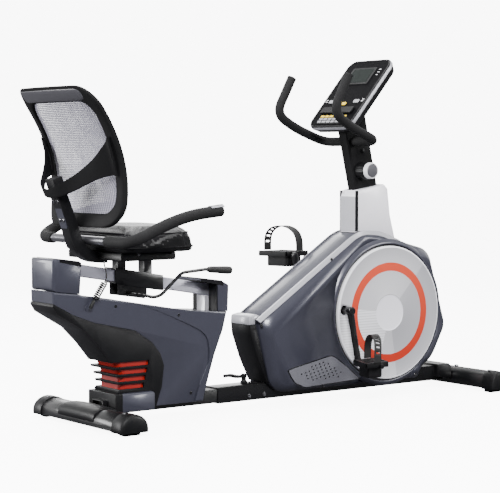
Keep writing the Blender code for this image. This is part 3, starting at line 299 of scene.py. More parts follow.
def printed_disc(name):
    """Silver disc: dotted sectors of three greys, an orange ring, a thin pale rim and a plain hub."""
    look = Look(name, (0.62, 0.62, 0.64), 0.42, mottle=0.03, mottle_scale=20, wear=0.03)
    x, y, z = look.axes()
    middle, level, radius = DISC
    dx = look.math("SUBTRACT", x, middle)
    dz = look.math("SUBTRACT", z, level)
    reach = look.math("SQRT", look.math("ADD", look.times(dx, dx), look.times(dz, dz)))
    turn = look.math("ARCTAN2", dz, dx)
    dark = look.times(look.span(turn, 0, 1, -1.42, -1.4), look.span(turn, 1, 0, 0.78, 0.8))
    light = look.math("MAXIMUM", look.span(turn, 0, 1, 3.0, 3.02), look.span(turn, 1, 0, -1.86, -1.84))
    silver = look.mix(dark, (0.62, 0.62, 0.65), (0.44, 0.44, 0.47))
    silver = look.mix(light, silver, (0.8, 0.8, 0.84))
    rows = look.wave(look.math("ADD", look.times(dx, 0.5), dz), 0.0086)
    lines = look.wave(look.math("SUBTRACT", dx, look.times(dz, 0.5)), 0.0086)
    dot = look.span(look.times(rows, lines), 0, 1, -0.1, 0.3)
    stripe = look.span(look.wave(dz, 0.0088), 0, 1, 0.2, 0.6)
    printed = look.times(look.mix(light, (0.7, 0.7, 0.7), (0.0, 0.0, 0.0)), dot)
    printed = look.math("ADD", printed, look.times(look.times(stripe, light), 0.35))
    silver = look.mix(printed, silver, (0.26, 0.26, 0.28))
    height = look.span(z, 0, 1, level - 0.15, level + 0.15)
    orange = look.mix(height, (0.46, 0.02, 0.003), (0.62, 0.055, 0.018))
    ring = look.times(look.math("GREATER_THAN", reach, radius * 0.628),
                     look.math("LESS_THAN", reach, radius * 0.753))
    picture = look.mix(ring, silver, orange)
    rim = look.math("GREATER_THAN", reach, radius * 0.975)
    picture = look.mix(rim, picture, (0.88, 0.88, 0.92))
    hub = look.math("LESS_THAN", reach, radius * 0.27)
    look.colour(look.mix(hub, picture, (0.84, 0.83, 0.9)))
    return look.material


def grille():
    """Moulded plate pricked all over with fine dimples."""
    look = Look("grille", (0.13, 0.13, 0.15), 0.45, mottle=0.06, mottle_scale=40, wear=0.04)
    x, y, z = look.axes()
    pitch = 0.004
    pricks = look.times(look.wave(look.math("ADD", x, z), pitch), look.wave(look.math("SUBTRACT", x, z), pitch))
    dimple = look.span(pricks, 0, 1, 0.3, 0.6)
    base = look.shader.inputs["Base Color"].links[0].from_socket
    look.colour(look.mix(dimple, base, (0.055, 0.055, 0.065)))
    look.bump(dimple, -0.5, 0.0006)
    return look.material


def brushed(name, colour, roughness, stretch):
    look = Look(name, colour, roughness, metallic=0.85, mottle=0.05, mottle_scale=30, wear=0.05, stretch=stretch)
    look.bump(look.noise(260, 3), 0.15, 0.0004)
    return look.material


def key_cap(name, colour, roughness, mottle):
    return Look(name, colour, roughness, mottle=mottle, mottle_scale=80, grain=(900, 0.08)).material


LOOKS = {
    "black_paint": Look("black_paint", (0.004, 0.004, 0.0046), 0.3, Specular_IOR_Level=0.4, mottle=0.2,
                        mottle_scale=25, wear=0.07, grain=(900, 0.12), Coat_Weight=0.25,
                        Coat_Roughness=0.25).material,
    "black_plastic": Look("black_plastic", (0.0035, 0.0035, 0.0042), 0.46, Specular_IOR_Level=0.22, mottle=0.2,
                          mottle_scale=30, wear=0.08, grain=(1400, 0.22)).material,
    "gloss_black": Look("gloss_black", (0.004, 0.004, 0.005), 0.16, mottle=0.2, mottle_scale=20, wear=0.04,
                        Coat_Weight=0.6, Coat_Roughness=0.06).material,
    "grey_shell": flake("grey_shell", (0.038, 0.039, 0.056), 0.34),
    "silver_trim": flake("silver_trim", (0.36, 0.36, 0.39), 0.35),
    "white_cover": Look("white_cover", (0.9, 0.885, 0.94), 0.26, mottle=0.02, mottle_scale=12, wear=0.04,
                        Coat_Weight=0.4, Coat_Roughness=0.1).material,
    "aluminium": brushed("aluminium", (0.58, 0.58, 0.66), 0.38, (0.06, 1, 1)),
    "steel": brushed("steel", (0.16, 0.16, 0.175), 0.3, (1, 0.06, 1)),
    "panel": Look("panel", (0.003, 0.003, 0.0036), 0.4, Specular_IOR_Level=0.02, mottle=0.15, mottle_scale=30,
                  wear=0.03, grain=(1200, 0.08)).material,
    "matte_frame": Look("matte_frame", (0.0035, 0.0035, 0.004), 0.72, Specular_IOR_Level=0.15, mottle=0.2,
                        mottle_scale=30, wear=0.06, grain=(1400, 0.3)).material,
    # dark grey satin for the knob's centre; on the backrest's top band its lighter grey is painted sheen
    "satin_and_sheen": Look("satin_and_sheen", (0.06, 0.059, 0.068), 0.36, mottle=0.1, mottle_scale=40, wear=0.05,
                  grain=(900, 0.15)).material,
    "foam": foam(),
    "leather": leather("black_leather", 0.36, 0.5),
    # a duller, less glossy copy of the leather for the cushion's sides and welts: painted shade
    "leather_shaded": leather("black_leather_shaded", 0.66, 0.12),
    "mesh": weave(),
    "grille": grille(),
    "red": Look("red_liner", (0.26, 0.005, 0.002), 0.45, mottle=0.12, mottle_scale=40, wear=0.05,
                grain=(700, 0.1)).material,
    "disc": printed_disc("printed_disc"),
    "yellow": key_cap("yellow_key", (0.86, 0.6, 0.03), 0.35, 0.06),
    "white_key": key_cap("white_key", (0.78, 0.78, 0.8), 0.35, 0.04),
    "grey_key": key_cap("grey_key", (0.32, 0.32, 0.34), 0.4, 0.06),
    "rubber": Look("rubber", (0.006, 0.006, 0.006), 0.62, mottle=0.25, mottle_scale=70,
                   grain=(900, 0.25)).material,
    "cast_iron": Look("cast_iron", (0.1, 0.1, 0.11), 0.5, metallic=0.8, mottle=0.2, mottle_scale=60,
                      grain=(300, 0.5)).material,
    "bolt": Look("bolt", (0.16, 0.16, 0.17), 0.3, metallic=0.9, mottle=0.15, mottle_scale=200,
                 grain=(900, 0.15)).material,
    "lcd": Look("lcd", (0.012, 0.015, 0.014), 0.25, Specular_IOR_Level=0.04, mottle=0.06, mottle_scale=25,
                wear=0.02).material,
}
SLOT_OF = {"grey_key": "white_key", "bolt": "black_paint", "grille": "grey_shell", "leather_shaded": "leather",
           **dict.fromkeys(("gloss_black", "lcd", "satin_and_sheen", "panel", "matte_frame"), "black_plastic")}


# ---------------------------------------------------------------- modelling helpers
def link_piece(name, bm, look, body, replaces=(), sharp=35, smooth=True, weld=1e-6):
    """Turn a bmesh into a piece that rides on a body."""
    bmesh.ops.remove_doubles(bm, verts=bm.verts, dist=weld)
    bmesh.ops.recalc_face_normals(bm, faces=bm.faces)
    mesh = bpy.data.meshes.new(name)
    bm.to_mesh(mesh)
    bm.free()
    mesh.materials.append(LOOKS[look])
    if smooth:
        mesh.shade_smooth()
        mesh.set_sharp_from_angle(angle=radians(sharp))
    obj = bpy.data.objects.new(name, mesh)
    bpy.context.scene.collection.objects.link(obj)
    if body:
        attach(obj, body)
    if replaces:
        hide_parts(*([replaces] if isinstance(replaces, str) else replaces))
    return obj


def skin(bm, rings, caps=True, loop=False):
    rows = [[bm.verts.new(point) for point in ring] for ring in rings]
    pairs = list(zip(rows, rows[1:]))
    if loop:
        pairs.append((rows[-1], rows[0]))
    for low, high in pairs:
        count = len(low)
        for i in range(count):
            bm.faces.new((low[i], low[(i + 1) % count], high[(i + 1) % count], high[i]))
    if caps and not loop:
        bm.faces.new(rows[0])
        bm.faces.new(rows[-1])
    return rows


def loft(name, rings, look, body, replaces=(), loop=False, caps=True, **more):
    bm = bmesh.new()
    skin(bm, rings, caps, loop)
    return link_piece(name, bm, look, body, replaces, **more)


def prism(name, outline, y0, y1, look, body, replaces=(), **more):
    return loft(name, [[(x, y, z) for x, z in outline] for y in (y0, y1)], look, body, replaces, **more)


def block(name, low, high, look, body, replaces=(), **more):
    outline = [(low[0], low[2]), (high[0], low[2]), (high[0], high[2]), (low[0], high[2])]
    return prism(name, outline, low[1], high[1], look, body, replaces, **more)


def basis(axis):
    axis = Vector(axis).normalized()
    side = axis.cross(Vector((0, 0, 1)))
    if side.length < 1e-3:
        side = axis.cross(Vector((0, 1, 0)))
    side.normalize()
    return axis, side, side.cross(axis)


def lathe(name, profile, centre, axis, look, body, replaces=(), sides=40, **more):
    """Turn (radius, distance along the axis) points about an axis through centre."""
    axis, side, up = basis(axis)
    centre = Vector(centre)
    loop = profile[0] == profile[-1]
    rings = []
    for radius, along in profile[:-1] if loop else profile:
        middle = centre + axis * along
        rings.append([middle + side * a + up * b for a, b in circle(radius, sides)])
    return loft(name, rings, look, body, replaces, loop=loop, **more)


def frames(path, up=(0, 0, 1)):
    result = []
    up = Vector(up)
    for i, point in enumerate(path):
        along = (path[min(i + 1, len(path) - 1)] - path[max(i - 1, 0)]).normalized()
        up = (up - along * up.dot(along)).normalized()
        result.append((point, along.cross(up).normalized(), up.copy()))
    return result


def sweep(name, path, section, look, body, replaces=(), up=(0, 0, 1), **more):
    """Run a section of (side, up) offsets, or one section a station, along a path."""
    rings = []
    for i, (p, s, u) in enumerate(frames(path, up)):
        points = section(i / (len(path) - 1)) if callable(section) else section
        rings.append([p + s * a + u * b for a, b in points])
    return loft(name, rings, look, body, replaces, **more)


def circle(radius, sides=28):
    return [(radius * cos(2 * pi * i / sides), radius * sin(2 * pi * i / sides)) for i in range(sides)]


def rounded(points, radius, steps=8, closed=False):
    """A path through the points with its corners turned."""
    points = [Vector(p) for p in points]
    if closed:
        trios = [(points[i - 1], points[i], points[(i + 1) % len(points)]) for i in range(len(points))]
        path = []
    else:
        trios = list(zip(points, points[1:], points[2:]))
        path = [points[0]]
    for before, corner, after in trios:
        reach = min(radius, (before - corner).length * 0.48, (after - corner).length * 0.48)
        start = corner + (before - corner).normalized() * reach
        end = corner + (after - corner).normalized() * reach
        for i in range(steps + 1):
            t = i / steps
            path.append(start * (1 - t) ** 2 + corner * 2 * t * (1 - t) + end * t * t)
    if not closed:
        path.append(points[-1])
    return path


def flat(points, radius, steps=5):
    """A closed x-z outline with rounded corners."""
    return [(p.x, p.y) for p in rounded([(x, z, 0) for x, z in points], radius, steps, closed=True)]


def smooth(points, steps):
    """A Catmull-Rom curve through the points."""
    points = [Vector(p) for p in points]
    ends = [2 * points[0] - points[1]] + points + [2 * points[-1] - points[-2]]
    path = []
    for a, b, c, d in zip(ends, ends[1:], ends[2:], ends[3:]):
        for i in range(steps):
            t = i / steps
            path.append(0.5 * (2 * b + (c - a) * t + (2 * a - 5 * b + 4 * c - d) * t * t
                               + (3 * b - a - 3 * c + d) * t ** 3))
    path.append(points[-1])
    return path


def bevel(obj, width, segments=2, angle=30):
    """Weld the glTF's split corners and round the sharp edges."""
    weld = obj.modifiers.new("weld", "WELD")
    weld.merge_threshold = 1e-5
    edge = obj.modifiers.new("bevel", "BEVEL")
    edge.width = width
    edge.segments = segments
    edge.limit_method = "ANGLE"
    edge.angle_limit = radians(angle)
    edge.harden_normals = True
    return obj


def cut(obj, tool):
    tool.hide_render = True
    tool.hide_viewport = True
    modifier = obj.modifiers.new("cut", "BOOLEAN")
    modifier.operation = "DIFFERENCE"
    modifier.object = tool


def paint(look, *nodes, edge=0.0, segments=2):
    """Give kept CAD nodes their finished material and soften their edges."""
    for node in nodes:
        obj = NODES[node]
        obj.data.materials.clear()
        obj.data.materials.append(LOOKS[look])
        if edge:
            obj.data.shade_smooth()
            bevel(obj, edge, segments)


def screw(name, place, axis, radius, body, look="bolt", socket=True, height=0.0025):
    """A domed screw head with a hexagonal socket."""
    profile = [(radius, -0.0015), (radius, height * 0.3), (radius * 0.86, height * 0.85), (radius * 0.5, height)]
    if not socket:
        profile += [(radius * 0.02, height * 1.05)]
        return lathe(name, profile, place, axis, look, body, sides=20)
    axis, side, up = basis(axis)
    rings = [[Vector(place) + axis * h + side * a + up * b for a, b in circle(r, 18)] for r, h in profile]
    for h in (height, height * 0.25):
        hexagon = []
        for i in range(18):
            a = pi * i / 9
            r = radius * 0.4 / cos((a % (pi / 3)) - pi / 6)
            hexagon.append(Vector(place) + axis * h + (side * cos(a) + up * sin(a)) * r)
        rings.append(hexagon)
    return loft(name, rings, look, body, sharp=25)


# ---------------------------------------------------------------- curly lead of the pulse sensors
LEAD_ROUTE = [(-0.66, -0.073, 0.4905), (-0.659, -0.0735, 0.483), (-0.656, -0.0742, 0.47),
              (-0.653, -0.0748, 0.455), (-0.653, -0.0753, 0.442), (-0.657, -0.076, 0.433)]
COIL_TOP = Vector((-0.6573, -0.0761, 0.4326))
COIL_LOW = Vector((-0.6968, -0.079, 0.379))
WIRE, COIL_RADIUS = 0.0021, 0.0084
TURNS, STEPS_PER_TURN = 10, 14
EASE_TURNS = 0.75                       # over this many turns the coil opens and closes


def curly_lead():
    """The seat sensors' lead: straight down from the rail, a coil, and a ribbed plug in the shell's socket."""
    along, side, up = basis(COIL_LOW - COIL_TOP)
    length = (COIL_LOW - COIL_TOP).length
    path = smooth(LEAD_ROUTE[:-1], 4)
    steps = TURNS * STEPS_PER_TURN
    for i in range(steps + 1):
        t = i / steps
        ease = min(t * TURNS / EASE_TURNS, 1, (1 - t) * TURNS / EASE_TURNS)
        ease = ease * ease * (3 - 2 * ease)
        a = 2 * pi * TURNS * t
        path.append(COIL_TOP + along * (length * (0.02 + 0.96 * t))
                    + (side * cos(a) + up * sin(a)) * (COIL_RADIUS * ease))
    path.append(COIL_LOW + along * 0.0006)
    path = [p for i, p in enumerate(path) if not i or (p - path[i - 1]).length > 2e-4]
    rings = []
    normal = Vector((0, 1, 0))
    for i, p in enumerate(path):
        tangent = (path[min(i + 1, len(path) - 1)] - path[max(i - 1, 0)]).normalized()
        normal = (normal - tangent * normal.dot(tangent)).normalized()
        other = tangent.cross(normal)
        rings.append([p + normal * a + other * b for a, b in circle(WIRE, 8)])
    cord = loft("pulse_cord", rings, "rubber", None)
    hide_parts("pulse_lead", "pulse_coil")
    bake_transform(cord)
    end = Vector((-0.709, -0.076, 0.3565))
    route = [COIL_LOW + along * GAP, COIL_LOW + along * 0.014, end]
    sleeve = smooth(route, 8)
    radii = [0.003, 0.0036, 0.0042, 0.0047, 0.005, 0.005, 0.0044, 0.005, 0.0044, 0.005, 0.0044, 0.005]
    radii += [0.005] * (len(sleeve) - len(radii))
    rings = [[p + s * a + u * b for a, b in circle(r, 20)]
             for (p, s, u), r in zip(frames(sleeve, (0, 1, 0)), radii)]
    plug = loft("lead_plug", rings, "rubber", "frame", "pulse_plug")
    length = sum((b - a).length for a, b in zip(path, path[1:]))


# ---------------------------------------------------------------- floor frame
SADDLE_HALF = 0.1
STABILISERS = (("rear", -0.67, 0.06), ("front", 0.795, 0.07))      # name, x and top
CLAMP_X, CLAMP_Z = -0.095, 0.0776


def floor_frame():
    """Beams, stabilisers and their caps, the parts inside the housing, and the clamp's handle."""
    paint("black_paint", "main_beam", "rear_beam", "rear_stabiliser", "front_stabiliser", edge=0.0012)
    paint("black_plastic", "rear_cap_right", "rear_cap_left", "front_cap_right", "front_cap_left", edge=0.0015)
    paint("grey_shell", "base_cover", edge=0.002)
    rings = []
    for x, grow in ((-0.624, -0.002), (-0.6232, 0.0004), (-0.599, 0.0006), (-0.5985, 0.0)):
        half, top = 0.076 + grow, 0.0955 + grow
        outline = [(-half, 0.04), (half, 0.04), (half, top), (-half, top)]
        rings.append([(x, y, z) for y, z in flat(outline, 0.004, 3)])
    loft("base_cover_end", rings, "black_plastic", "frame")
    # cast saddle over the rear stabiliser
    middle = STABILISERS[0][1]
    rings = []
    for i in range(25):
        y = SADDLE_HALF * (i / 12 - 1)
        swell = max(0.0, 1 - (y / SADDLE_HALF) ** 2) ** 0.5
        ring = []
        for t in range(13):
            a = pi * t / 12
            lift = 0.0008 + 0.0045 * swell * (0.6 + 0.4 * sin(a))
            ring.append((middle + (0.046 + lift) * cos(a), y, 0.03 + (0.03 + lift) * sin(a) ** 0.62))
        rings.append(ring + [(middle - 0.0462, y, 0.026), (middle + 0.0462, y, 0.026)])
    loft("rear_saddle", rings, "black_plastic", "frame", sharp=60)
    paint("rubber", "drive_belt")
    paint("cast_iron", "flywheel", "magnet_shoe")
    paint("black_paint", "crank_axle")
    paint("red", "slot_liner")
    # clamp handle
    profile = [(0.011, 0), (0.0115, 0.002), (0.0112, 0.006), (0.0085, 0.009), (0.0075, 0.012), (0.0078, 0.018),
               (0.0095, 0.024), (0.0095, 0.028), (0.007, 0.0306), (0.001, 0.0309)]
    lathe("clamp_hub", profile, (CLAMP_X, 0, CLAMP_Z), (0, 0, 1), "black_plastic", "clamp", "clamp_lever")
    path = [(CLAMP_X + x, 0, z) for x, z in ((0.002, 0.1), (-0.03, 0.101), (-0.052, 0.1075), (-0.078, 0.107))]

    def thickness(t):
        return circle(0.0052 + 0.0014 * sin(pi * min(t * 1.15, 1)) * t, 20)

    sweep("clamp_arm", rounded(path, 0.014, 6), thickness, "black_plastic", "clamp", up=(0, 1, 0))
    # bolts: sleeve, saddles
    for side_name, side in SIDES:
        for i, x in enumerate((-0.099, -0.039)):
            screw(f"beam_bolt_{side_name}_{i}", (x, side * 0.033, 0.0415), (0, side, 0), 0.007, "frame",
                  height=0.004)
    for label, x, top in STABILISERS:
        for side_name, side in SIDES:
            screw(f"{label}_saddle_bolt_{side_name}", (x, side * 0.045, top - 0.0005), (0, 0, 1), 0.0075,
                  "frame", height=0.005)
            screw(f"{label}_cap_screw_{side_name}", (x - 0.012, side * 0.214, top + 0.0026), (0, 0, 1), 0.0042,
                  "frame")


# ---------------------------------------------------------------- rear housing
REAR_HALF = 0.065
RECESS, RECESS_START, RECESS_END = 0.0042, -0.6, -0.28       # deepest at its front end
CREASE = [(-0.575, 0.372), (-0.494, 0.345), (-0.403, 0.309), (-0.311, 0.267), (-0.284, 0.241), (-0.277, 0.218),
          (-0.275, 0.187), (-0.281, 0.157), (-0.311, 0.098), (-0.33, 0.047)]
BEHIND_CREASE = [(-0.335, 0.03), (-0.76, 0.03), (-0.76, 0.43), (-0.575, 0.43)]
HOODS = (("rear", (-0.733, 0.4925), (-0.805, 0.5026)), ("front", (-0.223, 0.4142), (-0.307, 0.4255)))
HOUSING_SCREWS = ((-0.615, 0.0651, 0.356), (-0.389, 0.0651, 0.317), (-0.343, 0.063, 0.076),
                  (-0.605, 0.0651, 0.1))


def recess(node, tool, edge):
    """Weld a kept CAD node's split corners, cut it, and round its edges."""
    obj = NODES[node]
    weld = obj.modifiers.new("weld_first", "WELD")
    weld.merge_threshold = 1e-5
    cut(obj, tool)
    obj.data.shade_flat()
    bevel(obj, edge)


def rear_housing():
    """Shells with their creased recess, the end blocks with glossy hood strips, and the rail."""
    paint("grey_shell", "rear_shell_right", "rear_shell_left")
    paint("black_plastic", "rear_insert", edge=0.0012)
    paint("grey_shell", "front_end_block")
    paint("grey_shell", "rear_end_block", edge=0.0015)
    paint("aluminium", "seat_rail", edge=0.0008)
    paint("silver_trim", "front_rail_post", edge=0.0008)
    for side_name, side in SIDES:
        crease = smooth([(x, 0, z) for x, z in CREASE], 5)
        outline = [(p.x, p.z) for p in crease] + BEHIND_CREASE
        slope = RECESS / (RECESS_END - RECESS_START)
        rings = [[(x, side * (REAR_HALF - slope * (x - RECESS_START)), z) for x, z in outline],
                 [(x, side * 0.09, z) for x, z in outline]]
        recess(f"rear_shell_{side_name}", loft(f"recess_tool_{side_name}", rings, "black_plastic", None), 0.0016)
        for i, (x, y, z) in enumerate(HOUSING_SCREWS):
            screw(f"housing_screw_{side_name}_{i}", (x, side * y, z), (0, side, 0), 0.0046, "frame",
                  "gloss_black", height=0.0014)
    for name, (x1, z1), (x0, z0) in HOODS:
        outline = [(x0, z0 - 0.01), (x0, z0 + 0.0012), (x1 - 0.006, z1 + 0.0016), (x1 + 0.001, z1 - 0.004),
                   (x1 + 0.0008, z1 - 0.016), (x1 - 0.01, z1 - 0.013)]
        bevel(prism(f"{name}_hood_strip", outline, -0.0668, 0.0668, "gloss_black", "frame"), 0.0015)
    # the open side of the front block, where the rail enters its dark inside
    recess("front_end_block", block("rail_opening", (-0.315, -0.07, 0.31), (-0.247, 0.07, 0.4085),
                                    "black_plastic", None), 0.0012)
    block("rail_wall", (-0.2472, -0.064, 0.32), (-0.2452, 0.064, 0.413), "black_plastic", "frame")
    roof = [(-0.309, 0.4135), (-0.309, 0.4175), (-0.246, 0.4105), (-0.246, 0.4075)]
    prism("rail_roof", roof, -0.0645, 0.0645, "black_plastic", "frame")


# ---------------------------------------------------------------- front housing
FRONT_OUTLINE = [(-0.086, 0.282), (0.312, 0.537), (0.35, 0.55), (0.425, 0.548), (0.515, 0.514),
                 (0.628, 0.485), (0.654, 0.46), (0.712, 0.27), (0.728, 0.22), (0.668, 0.112),
                 (0.615, 0.078), (0.605, 0.0462), (0.003, 0.0462), (-0.033, 0.076)]
FRONT_HALF = 0.086
TOP_HALF = 0.055
CHAMFER = 0.03
STRIP_WIDTHS = (0.011, 0.011, 0.012, 0.015, 0.02)
FACETS = (((-0.038, 0.234), (0.2, 0.32), 0.105), ((0.07, 0.04), (-0.036, 0.225), 0.12))
FRONT_SCREWS = ((0.208, 0.0705, 0.4645), (-0.0765, 0.07, 0.266), (0.162, 0.0861, 0.0555),
                (0.564, 0.0861, 0.0625))
LEAF = [(0.019, 0.117), (0.031, 0.121), (0.192, 0.151), (0.209, 0.145), (0.254, 0.114), (0.312, 0.069),
        (0.086, 0.061), (0.046, 0.078), (0.031, 0.097)]
LEAF_HOLES = [(0.06, 0.105), (0.165, 0.142), (0.235, 0.1), (0.233, 0.08), (0.165, 0.078), (0.1, 0.078)]


def moved_line(points, distance, closed):
    """The line with each point moved to the right of its heading by distance."""
    count = len(points)
    result = []
    for i, point in enumerate(points):
        here = Vector(point)
        first = here - Vector(points[i - 1]) if closed or i else None
        second = Vector(points[(i + 1) % count]) - here if closed or i < count - 1 else None
        first = (first or second).normalized()
        second = (second or first).normalized()
        normal = (Vector((first.y, -first.x)) + Vector((second.y, -second.x))).normalized()
        stretch = max(normal.dot(Vector((first.y, -first.x))), 0.5)
        result.append(tuple(here + normal * (distance / stretch)))
    return result


def facet_tool(name, side, start, end, slope):
    """A wedge that planes the near face away to the left of a line, deeper with distance from it."""
    start, end = Vector(start), Vector(end)
    along = (end - start).normalized()
    left = Vector((-along.y, along.x))
    near, far = [], []
    for run, reach in ((-0.5, -0.01), (0.9, -0.01), (0.9, 0.45), (-0.5, 0.45)):
        p = start + along * run + left * reach
        near.append((p.x, side * (FRONT_HALF - slope * reach), p.y))
        far.append((p.x, side * 0.14, p.y))
    return loft(name, [near, far], "black_plastic", None)


def inside(point, outline):
    x, z = point
    hits = 0
    for (ax, az), (bx, bz) in zip(outline, outline[1:] + outline[:1]):
        if (az > z) != (bz > z) and x < ax + (z - az) / (bz - az) * (bx - ax):
            hits += 1
    return hits % 2 == 1


def vent_leaf(side_name, side):
    """Pale leaf-shaped grille low on the panel, its square holes backed with black."""
    lining = flat(moved_line(LEAF[::-1], 0.004, True), 0.008, 4)
    prism(f"vent_lining_{side_name}", lining, side * (FRONT_HALF - 0.001), side * (FRONT_HALF + 0.0003),
          "gloss_black", "frame")
    rings = []
    for inset, y in ((0.0, FRONT_HALF + 0.0004), (0.0, FRONT_HALF + 0.0012), (0.001, FRONT_HALF + 0.0018)):
        rings.append([(px, side * y, pz) for px, pz in flat(moved_line(LEAF[::-1], inset, True), 0.008, 4)])
    leaf = loft(f"vent_leaf_{side_name}", rings, "grille", "frame", smooth=False)
    bm = bmesh.new()
    for row in range(-6, 12):
        for column in range(-4, 16):
            centre = (0.06 + column * 0.0158 + row * 0.0052, 0.122 + column * 0.0036 - row * 0.0098)
            if inside(centre, LEAF_HOLES):
                skin(bm, [[(centre[0] + a * 0.003, side * (FRONT_HALF + y), centre[1] + b * 0.0027)
                           for a, b in ((-1, -1), (1, -0.8), (1, 1), (-1, 0.8))] for y in (-0.003, 0.004)])
    cut(leaf, link_piece(f"vent_holes_{side_name}", bm, "black_plastic", None))


def front_ring(inset, y, radius=0.05, lift=0.0):
    outline = moved_line(FRONT_OUTLINE, inset, True)
    return [(x, y, max(z, lift)) for x, z in flat(outline, radius, 5)]


def shell_half(side_name, side):
    """Hollow half with a chamfered shoulder, planed facets and room for the disc and what passes through."""
    outer = [(0, GAP / 2), (0, 0.053), (0.0015, 0.0565), (0.0265, 0.0838), (0.03, 0.0856),
             (0.0345, FRONT_HALF)]
    inner = [(0.038, 0.0605), (0.034, 0.06), (0.0045, 0.052), (0.004, 0.05), (0.004, GAP / 2)]
    rings = [front_ring(inset, side * y) for inset, y in outer[::-1] + inner[::-1]]
    shell = loft(f"front_panel_{side_name}", rings, "grey_shell", "frame", f"front_shell_{side_name}", sharp=28)
    for i, (start, end, slope) in enumerate(FACETS):
        cut(shell, facet_tool(f"facet_{side_name}_{i}", side, start, end, slope))
    x, z, radius = DISC
    cut(shell, lathe(f"disc_seat_cut_{side_name}", [(radius + 0.01, 0), (radius + 0.01, 0.03)],
                     (x, side * (FRONT_HALF - 0.02), z), (0, side, 0), "black_plastic", None, sides=96))
    cut(shell, crank_hole(f"crank_cut_{side_name}", side))
    cut(shell, block(f"beam_cut_{side_name}", (-0.08, -0.0334, 0.02), (0.68, 0.0334, 0.0776),
                     "black_plastic", None))
    cut(shell, block(f"mast_cut_{side_name}", (0.335, -0.03, 0.5), (0.455, 0.03, 0.6),
                     "black_plastic", None))


def crank_hole(name, side):
    return lathe(name, [(0.016, 0), (0.016, 0.06)], (CRANK[0], side * 0.05, CRANK[1]), (0, side, 0),
                 "black_plastic", None)


def side_disc(side_name, side):
    """Printed disc inside a collar; the sunken ring between them is filled with black, painted shade."""
    x, z, radius = DISC
    parts = (("collar", "grey_shell", [(0.0068, 0.0655), (0.0068, 0.0861), (0.008, 0.0869), (0.01, 0.087),
                                       (0.015, 0.085), (0.023, 0.077), (0.0235, 0.0655)]),
             # black ring sunk between disc and collar: painted shade for the dark of that recess
             ("groove_shade_ring", "gloss_black", [(-0.002, 0.066), (-0.002, 0.0834), (0.0067, 0.0834),
                                        (0.0067, 0.066)]))
    for name, look, section in parts:
        loop = [(radius + out, along) for out, along in section + section[:1]]
        lathe(f"disc_{name}_{side_name}", loop, (x, 0, z), (0, side, 0), look, "frame", sides=96)
    profile = [(radius, -0.0022), (radius, 0.0062), (radius - 0.0015, 0.008), (radius - 0.0055, 0.0088),
               (radius - 0.0075, 0.0078), (0.17, 0.0083), (0.138, 0.009), (0.0645, 0.0098), (0.0625, 0.0105),
               (0.06, 0.0104), (0.0585, 0.0088), (0.056, 0.0084), (0.001, 0.0084)]
    disc = lathe(f"disc_{side_name}", [(r, FRONT_HALF + along) for r, along in profile], (x, 0, z), (0, side, 0),
                 "disc", "frame", f"side_disc_{side_name}", sides=96)
    cut(disc, crank_hole(f"disc_cut_{side_name}", side))


def shoulder_strip(side_name, side):
    """Pale strip along the shoulder, wider towards the mast."""
    section = [(-0.0005, 0.0, 0.0), (0.0, 0.98, 0.0006), (0.0, 1.0, 0.003), (0.0, 0.93, 0.005),
               (0.0, 0.8, 0.0052), (0.0, 0.1, 0.0044), (-0.003, 0.0, 0.0032), (-0.0038, 0.0, 0.0004)]
    lines = []
    for inset, across, lift in section:
        corners = []
        for i, width in enumerate(STRIP_WIDTHS):
            px, pz = moved_line(FRONT_OUTLINE[:5], inset + width * across, False)[i]
            y = TOP_HALF + 0.0002 + (FRONT_HALF - TOP_HALF) * width * across / CHAMFER + lift * 0.72
            corners.append((px, side * y, pz + lift * 0.55 * (across > 0)))
        lines.append(rounded(corners, 0.06, 8))
    loft(f"shoulder_strip_{side_name}", list(zip(*lines)), "silver_trim", "frame",
         f"shoulder_trim_{side_name}")


def front_housing():
    for side_name, side in SIDES:
        shell_half(side_name, side)
        side_disc(side_name, side)
        vent_leaf(side_name, side)
        shoulder_strip(side_name, side)
        for i, (x, y, z) in enumerate(FRONT_SCREWS):
            screw(f"front_screw_{side_name}_{i}", (x, side * y, z), (0, side, 0), 0.0048, "frame", "gloss_black",
                  height=0.0014)
    paint("black_plastic", "nose_cover", edge=0.0015)
    paint("silver_trim", "nose_cap", edge=0.0015)


# ---------------------------------------------------------------- mast and console
FRONT_BAR = [(0.344, 0, 0.846), (0.344, -0.135, 0.846), (0.224, -0.143, 0.892), (0.15, -0.147, 0.938),
             (0.214, -0.145, 1.058)]


def mast_parts():
    paint("matte_frame", "mast", edge=0.0015)
    paint("white_cover", "mast_cover", edge=0.0015)
    back = block("cover_back", (0.3345, -0.0385, 0.55), (0.3362, 0.0385, 0.665), "silver_trim", "frame")
    bevel(back, 0.0005)
    for side_name, side in SIDES:
        y0, y1 = sorted((side * 0.0386, side * 0.0404))
        block(f"cover_corner_{side_name}", (0.3348, y0, 0.55), (0.3465, y1, 0.684), "gloss_black", "frame")
    lathe("mast_plug", [(0.0088, 0.0), (0.0088, 0.0018), (0.0066, 0.0042), (0.003, 0.0054), (0.0006, 0.0056)],
          (0.381, -0.0214, 0.815), (0, -1, 0), "black_plastic", "frame")


def front_bar():
    """Foam-covered bar through the mast, with a plug in each horn."""
    right = rounded(FRONT_BAR, 0.045, 12)
    bar = [Vector((p.x, -p.y, p.z)) for p in right][::-1] + right[1:]
    sweep("front_bar", bar, circle(0.015, 28), "foam", "frame", "front_handlebar")
    for side_name, side in SIDES:
        bend, tip = [Vector((x, -side * y, z)) for x, y, z in FRONT_BAR[-2:]]
        along = (tip - bend).normalized()
        profile = [(0.0152, -0.004), (0.0156, -0.002), (0.015, -0.0005), (0.012, 0.0004), (0.001, 0.0008)]
        lathe(f"front_bar_end_{side_name}", profile, tip - along * 0.001, along, "black_plastic", "frame")


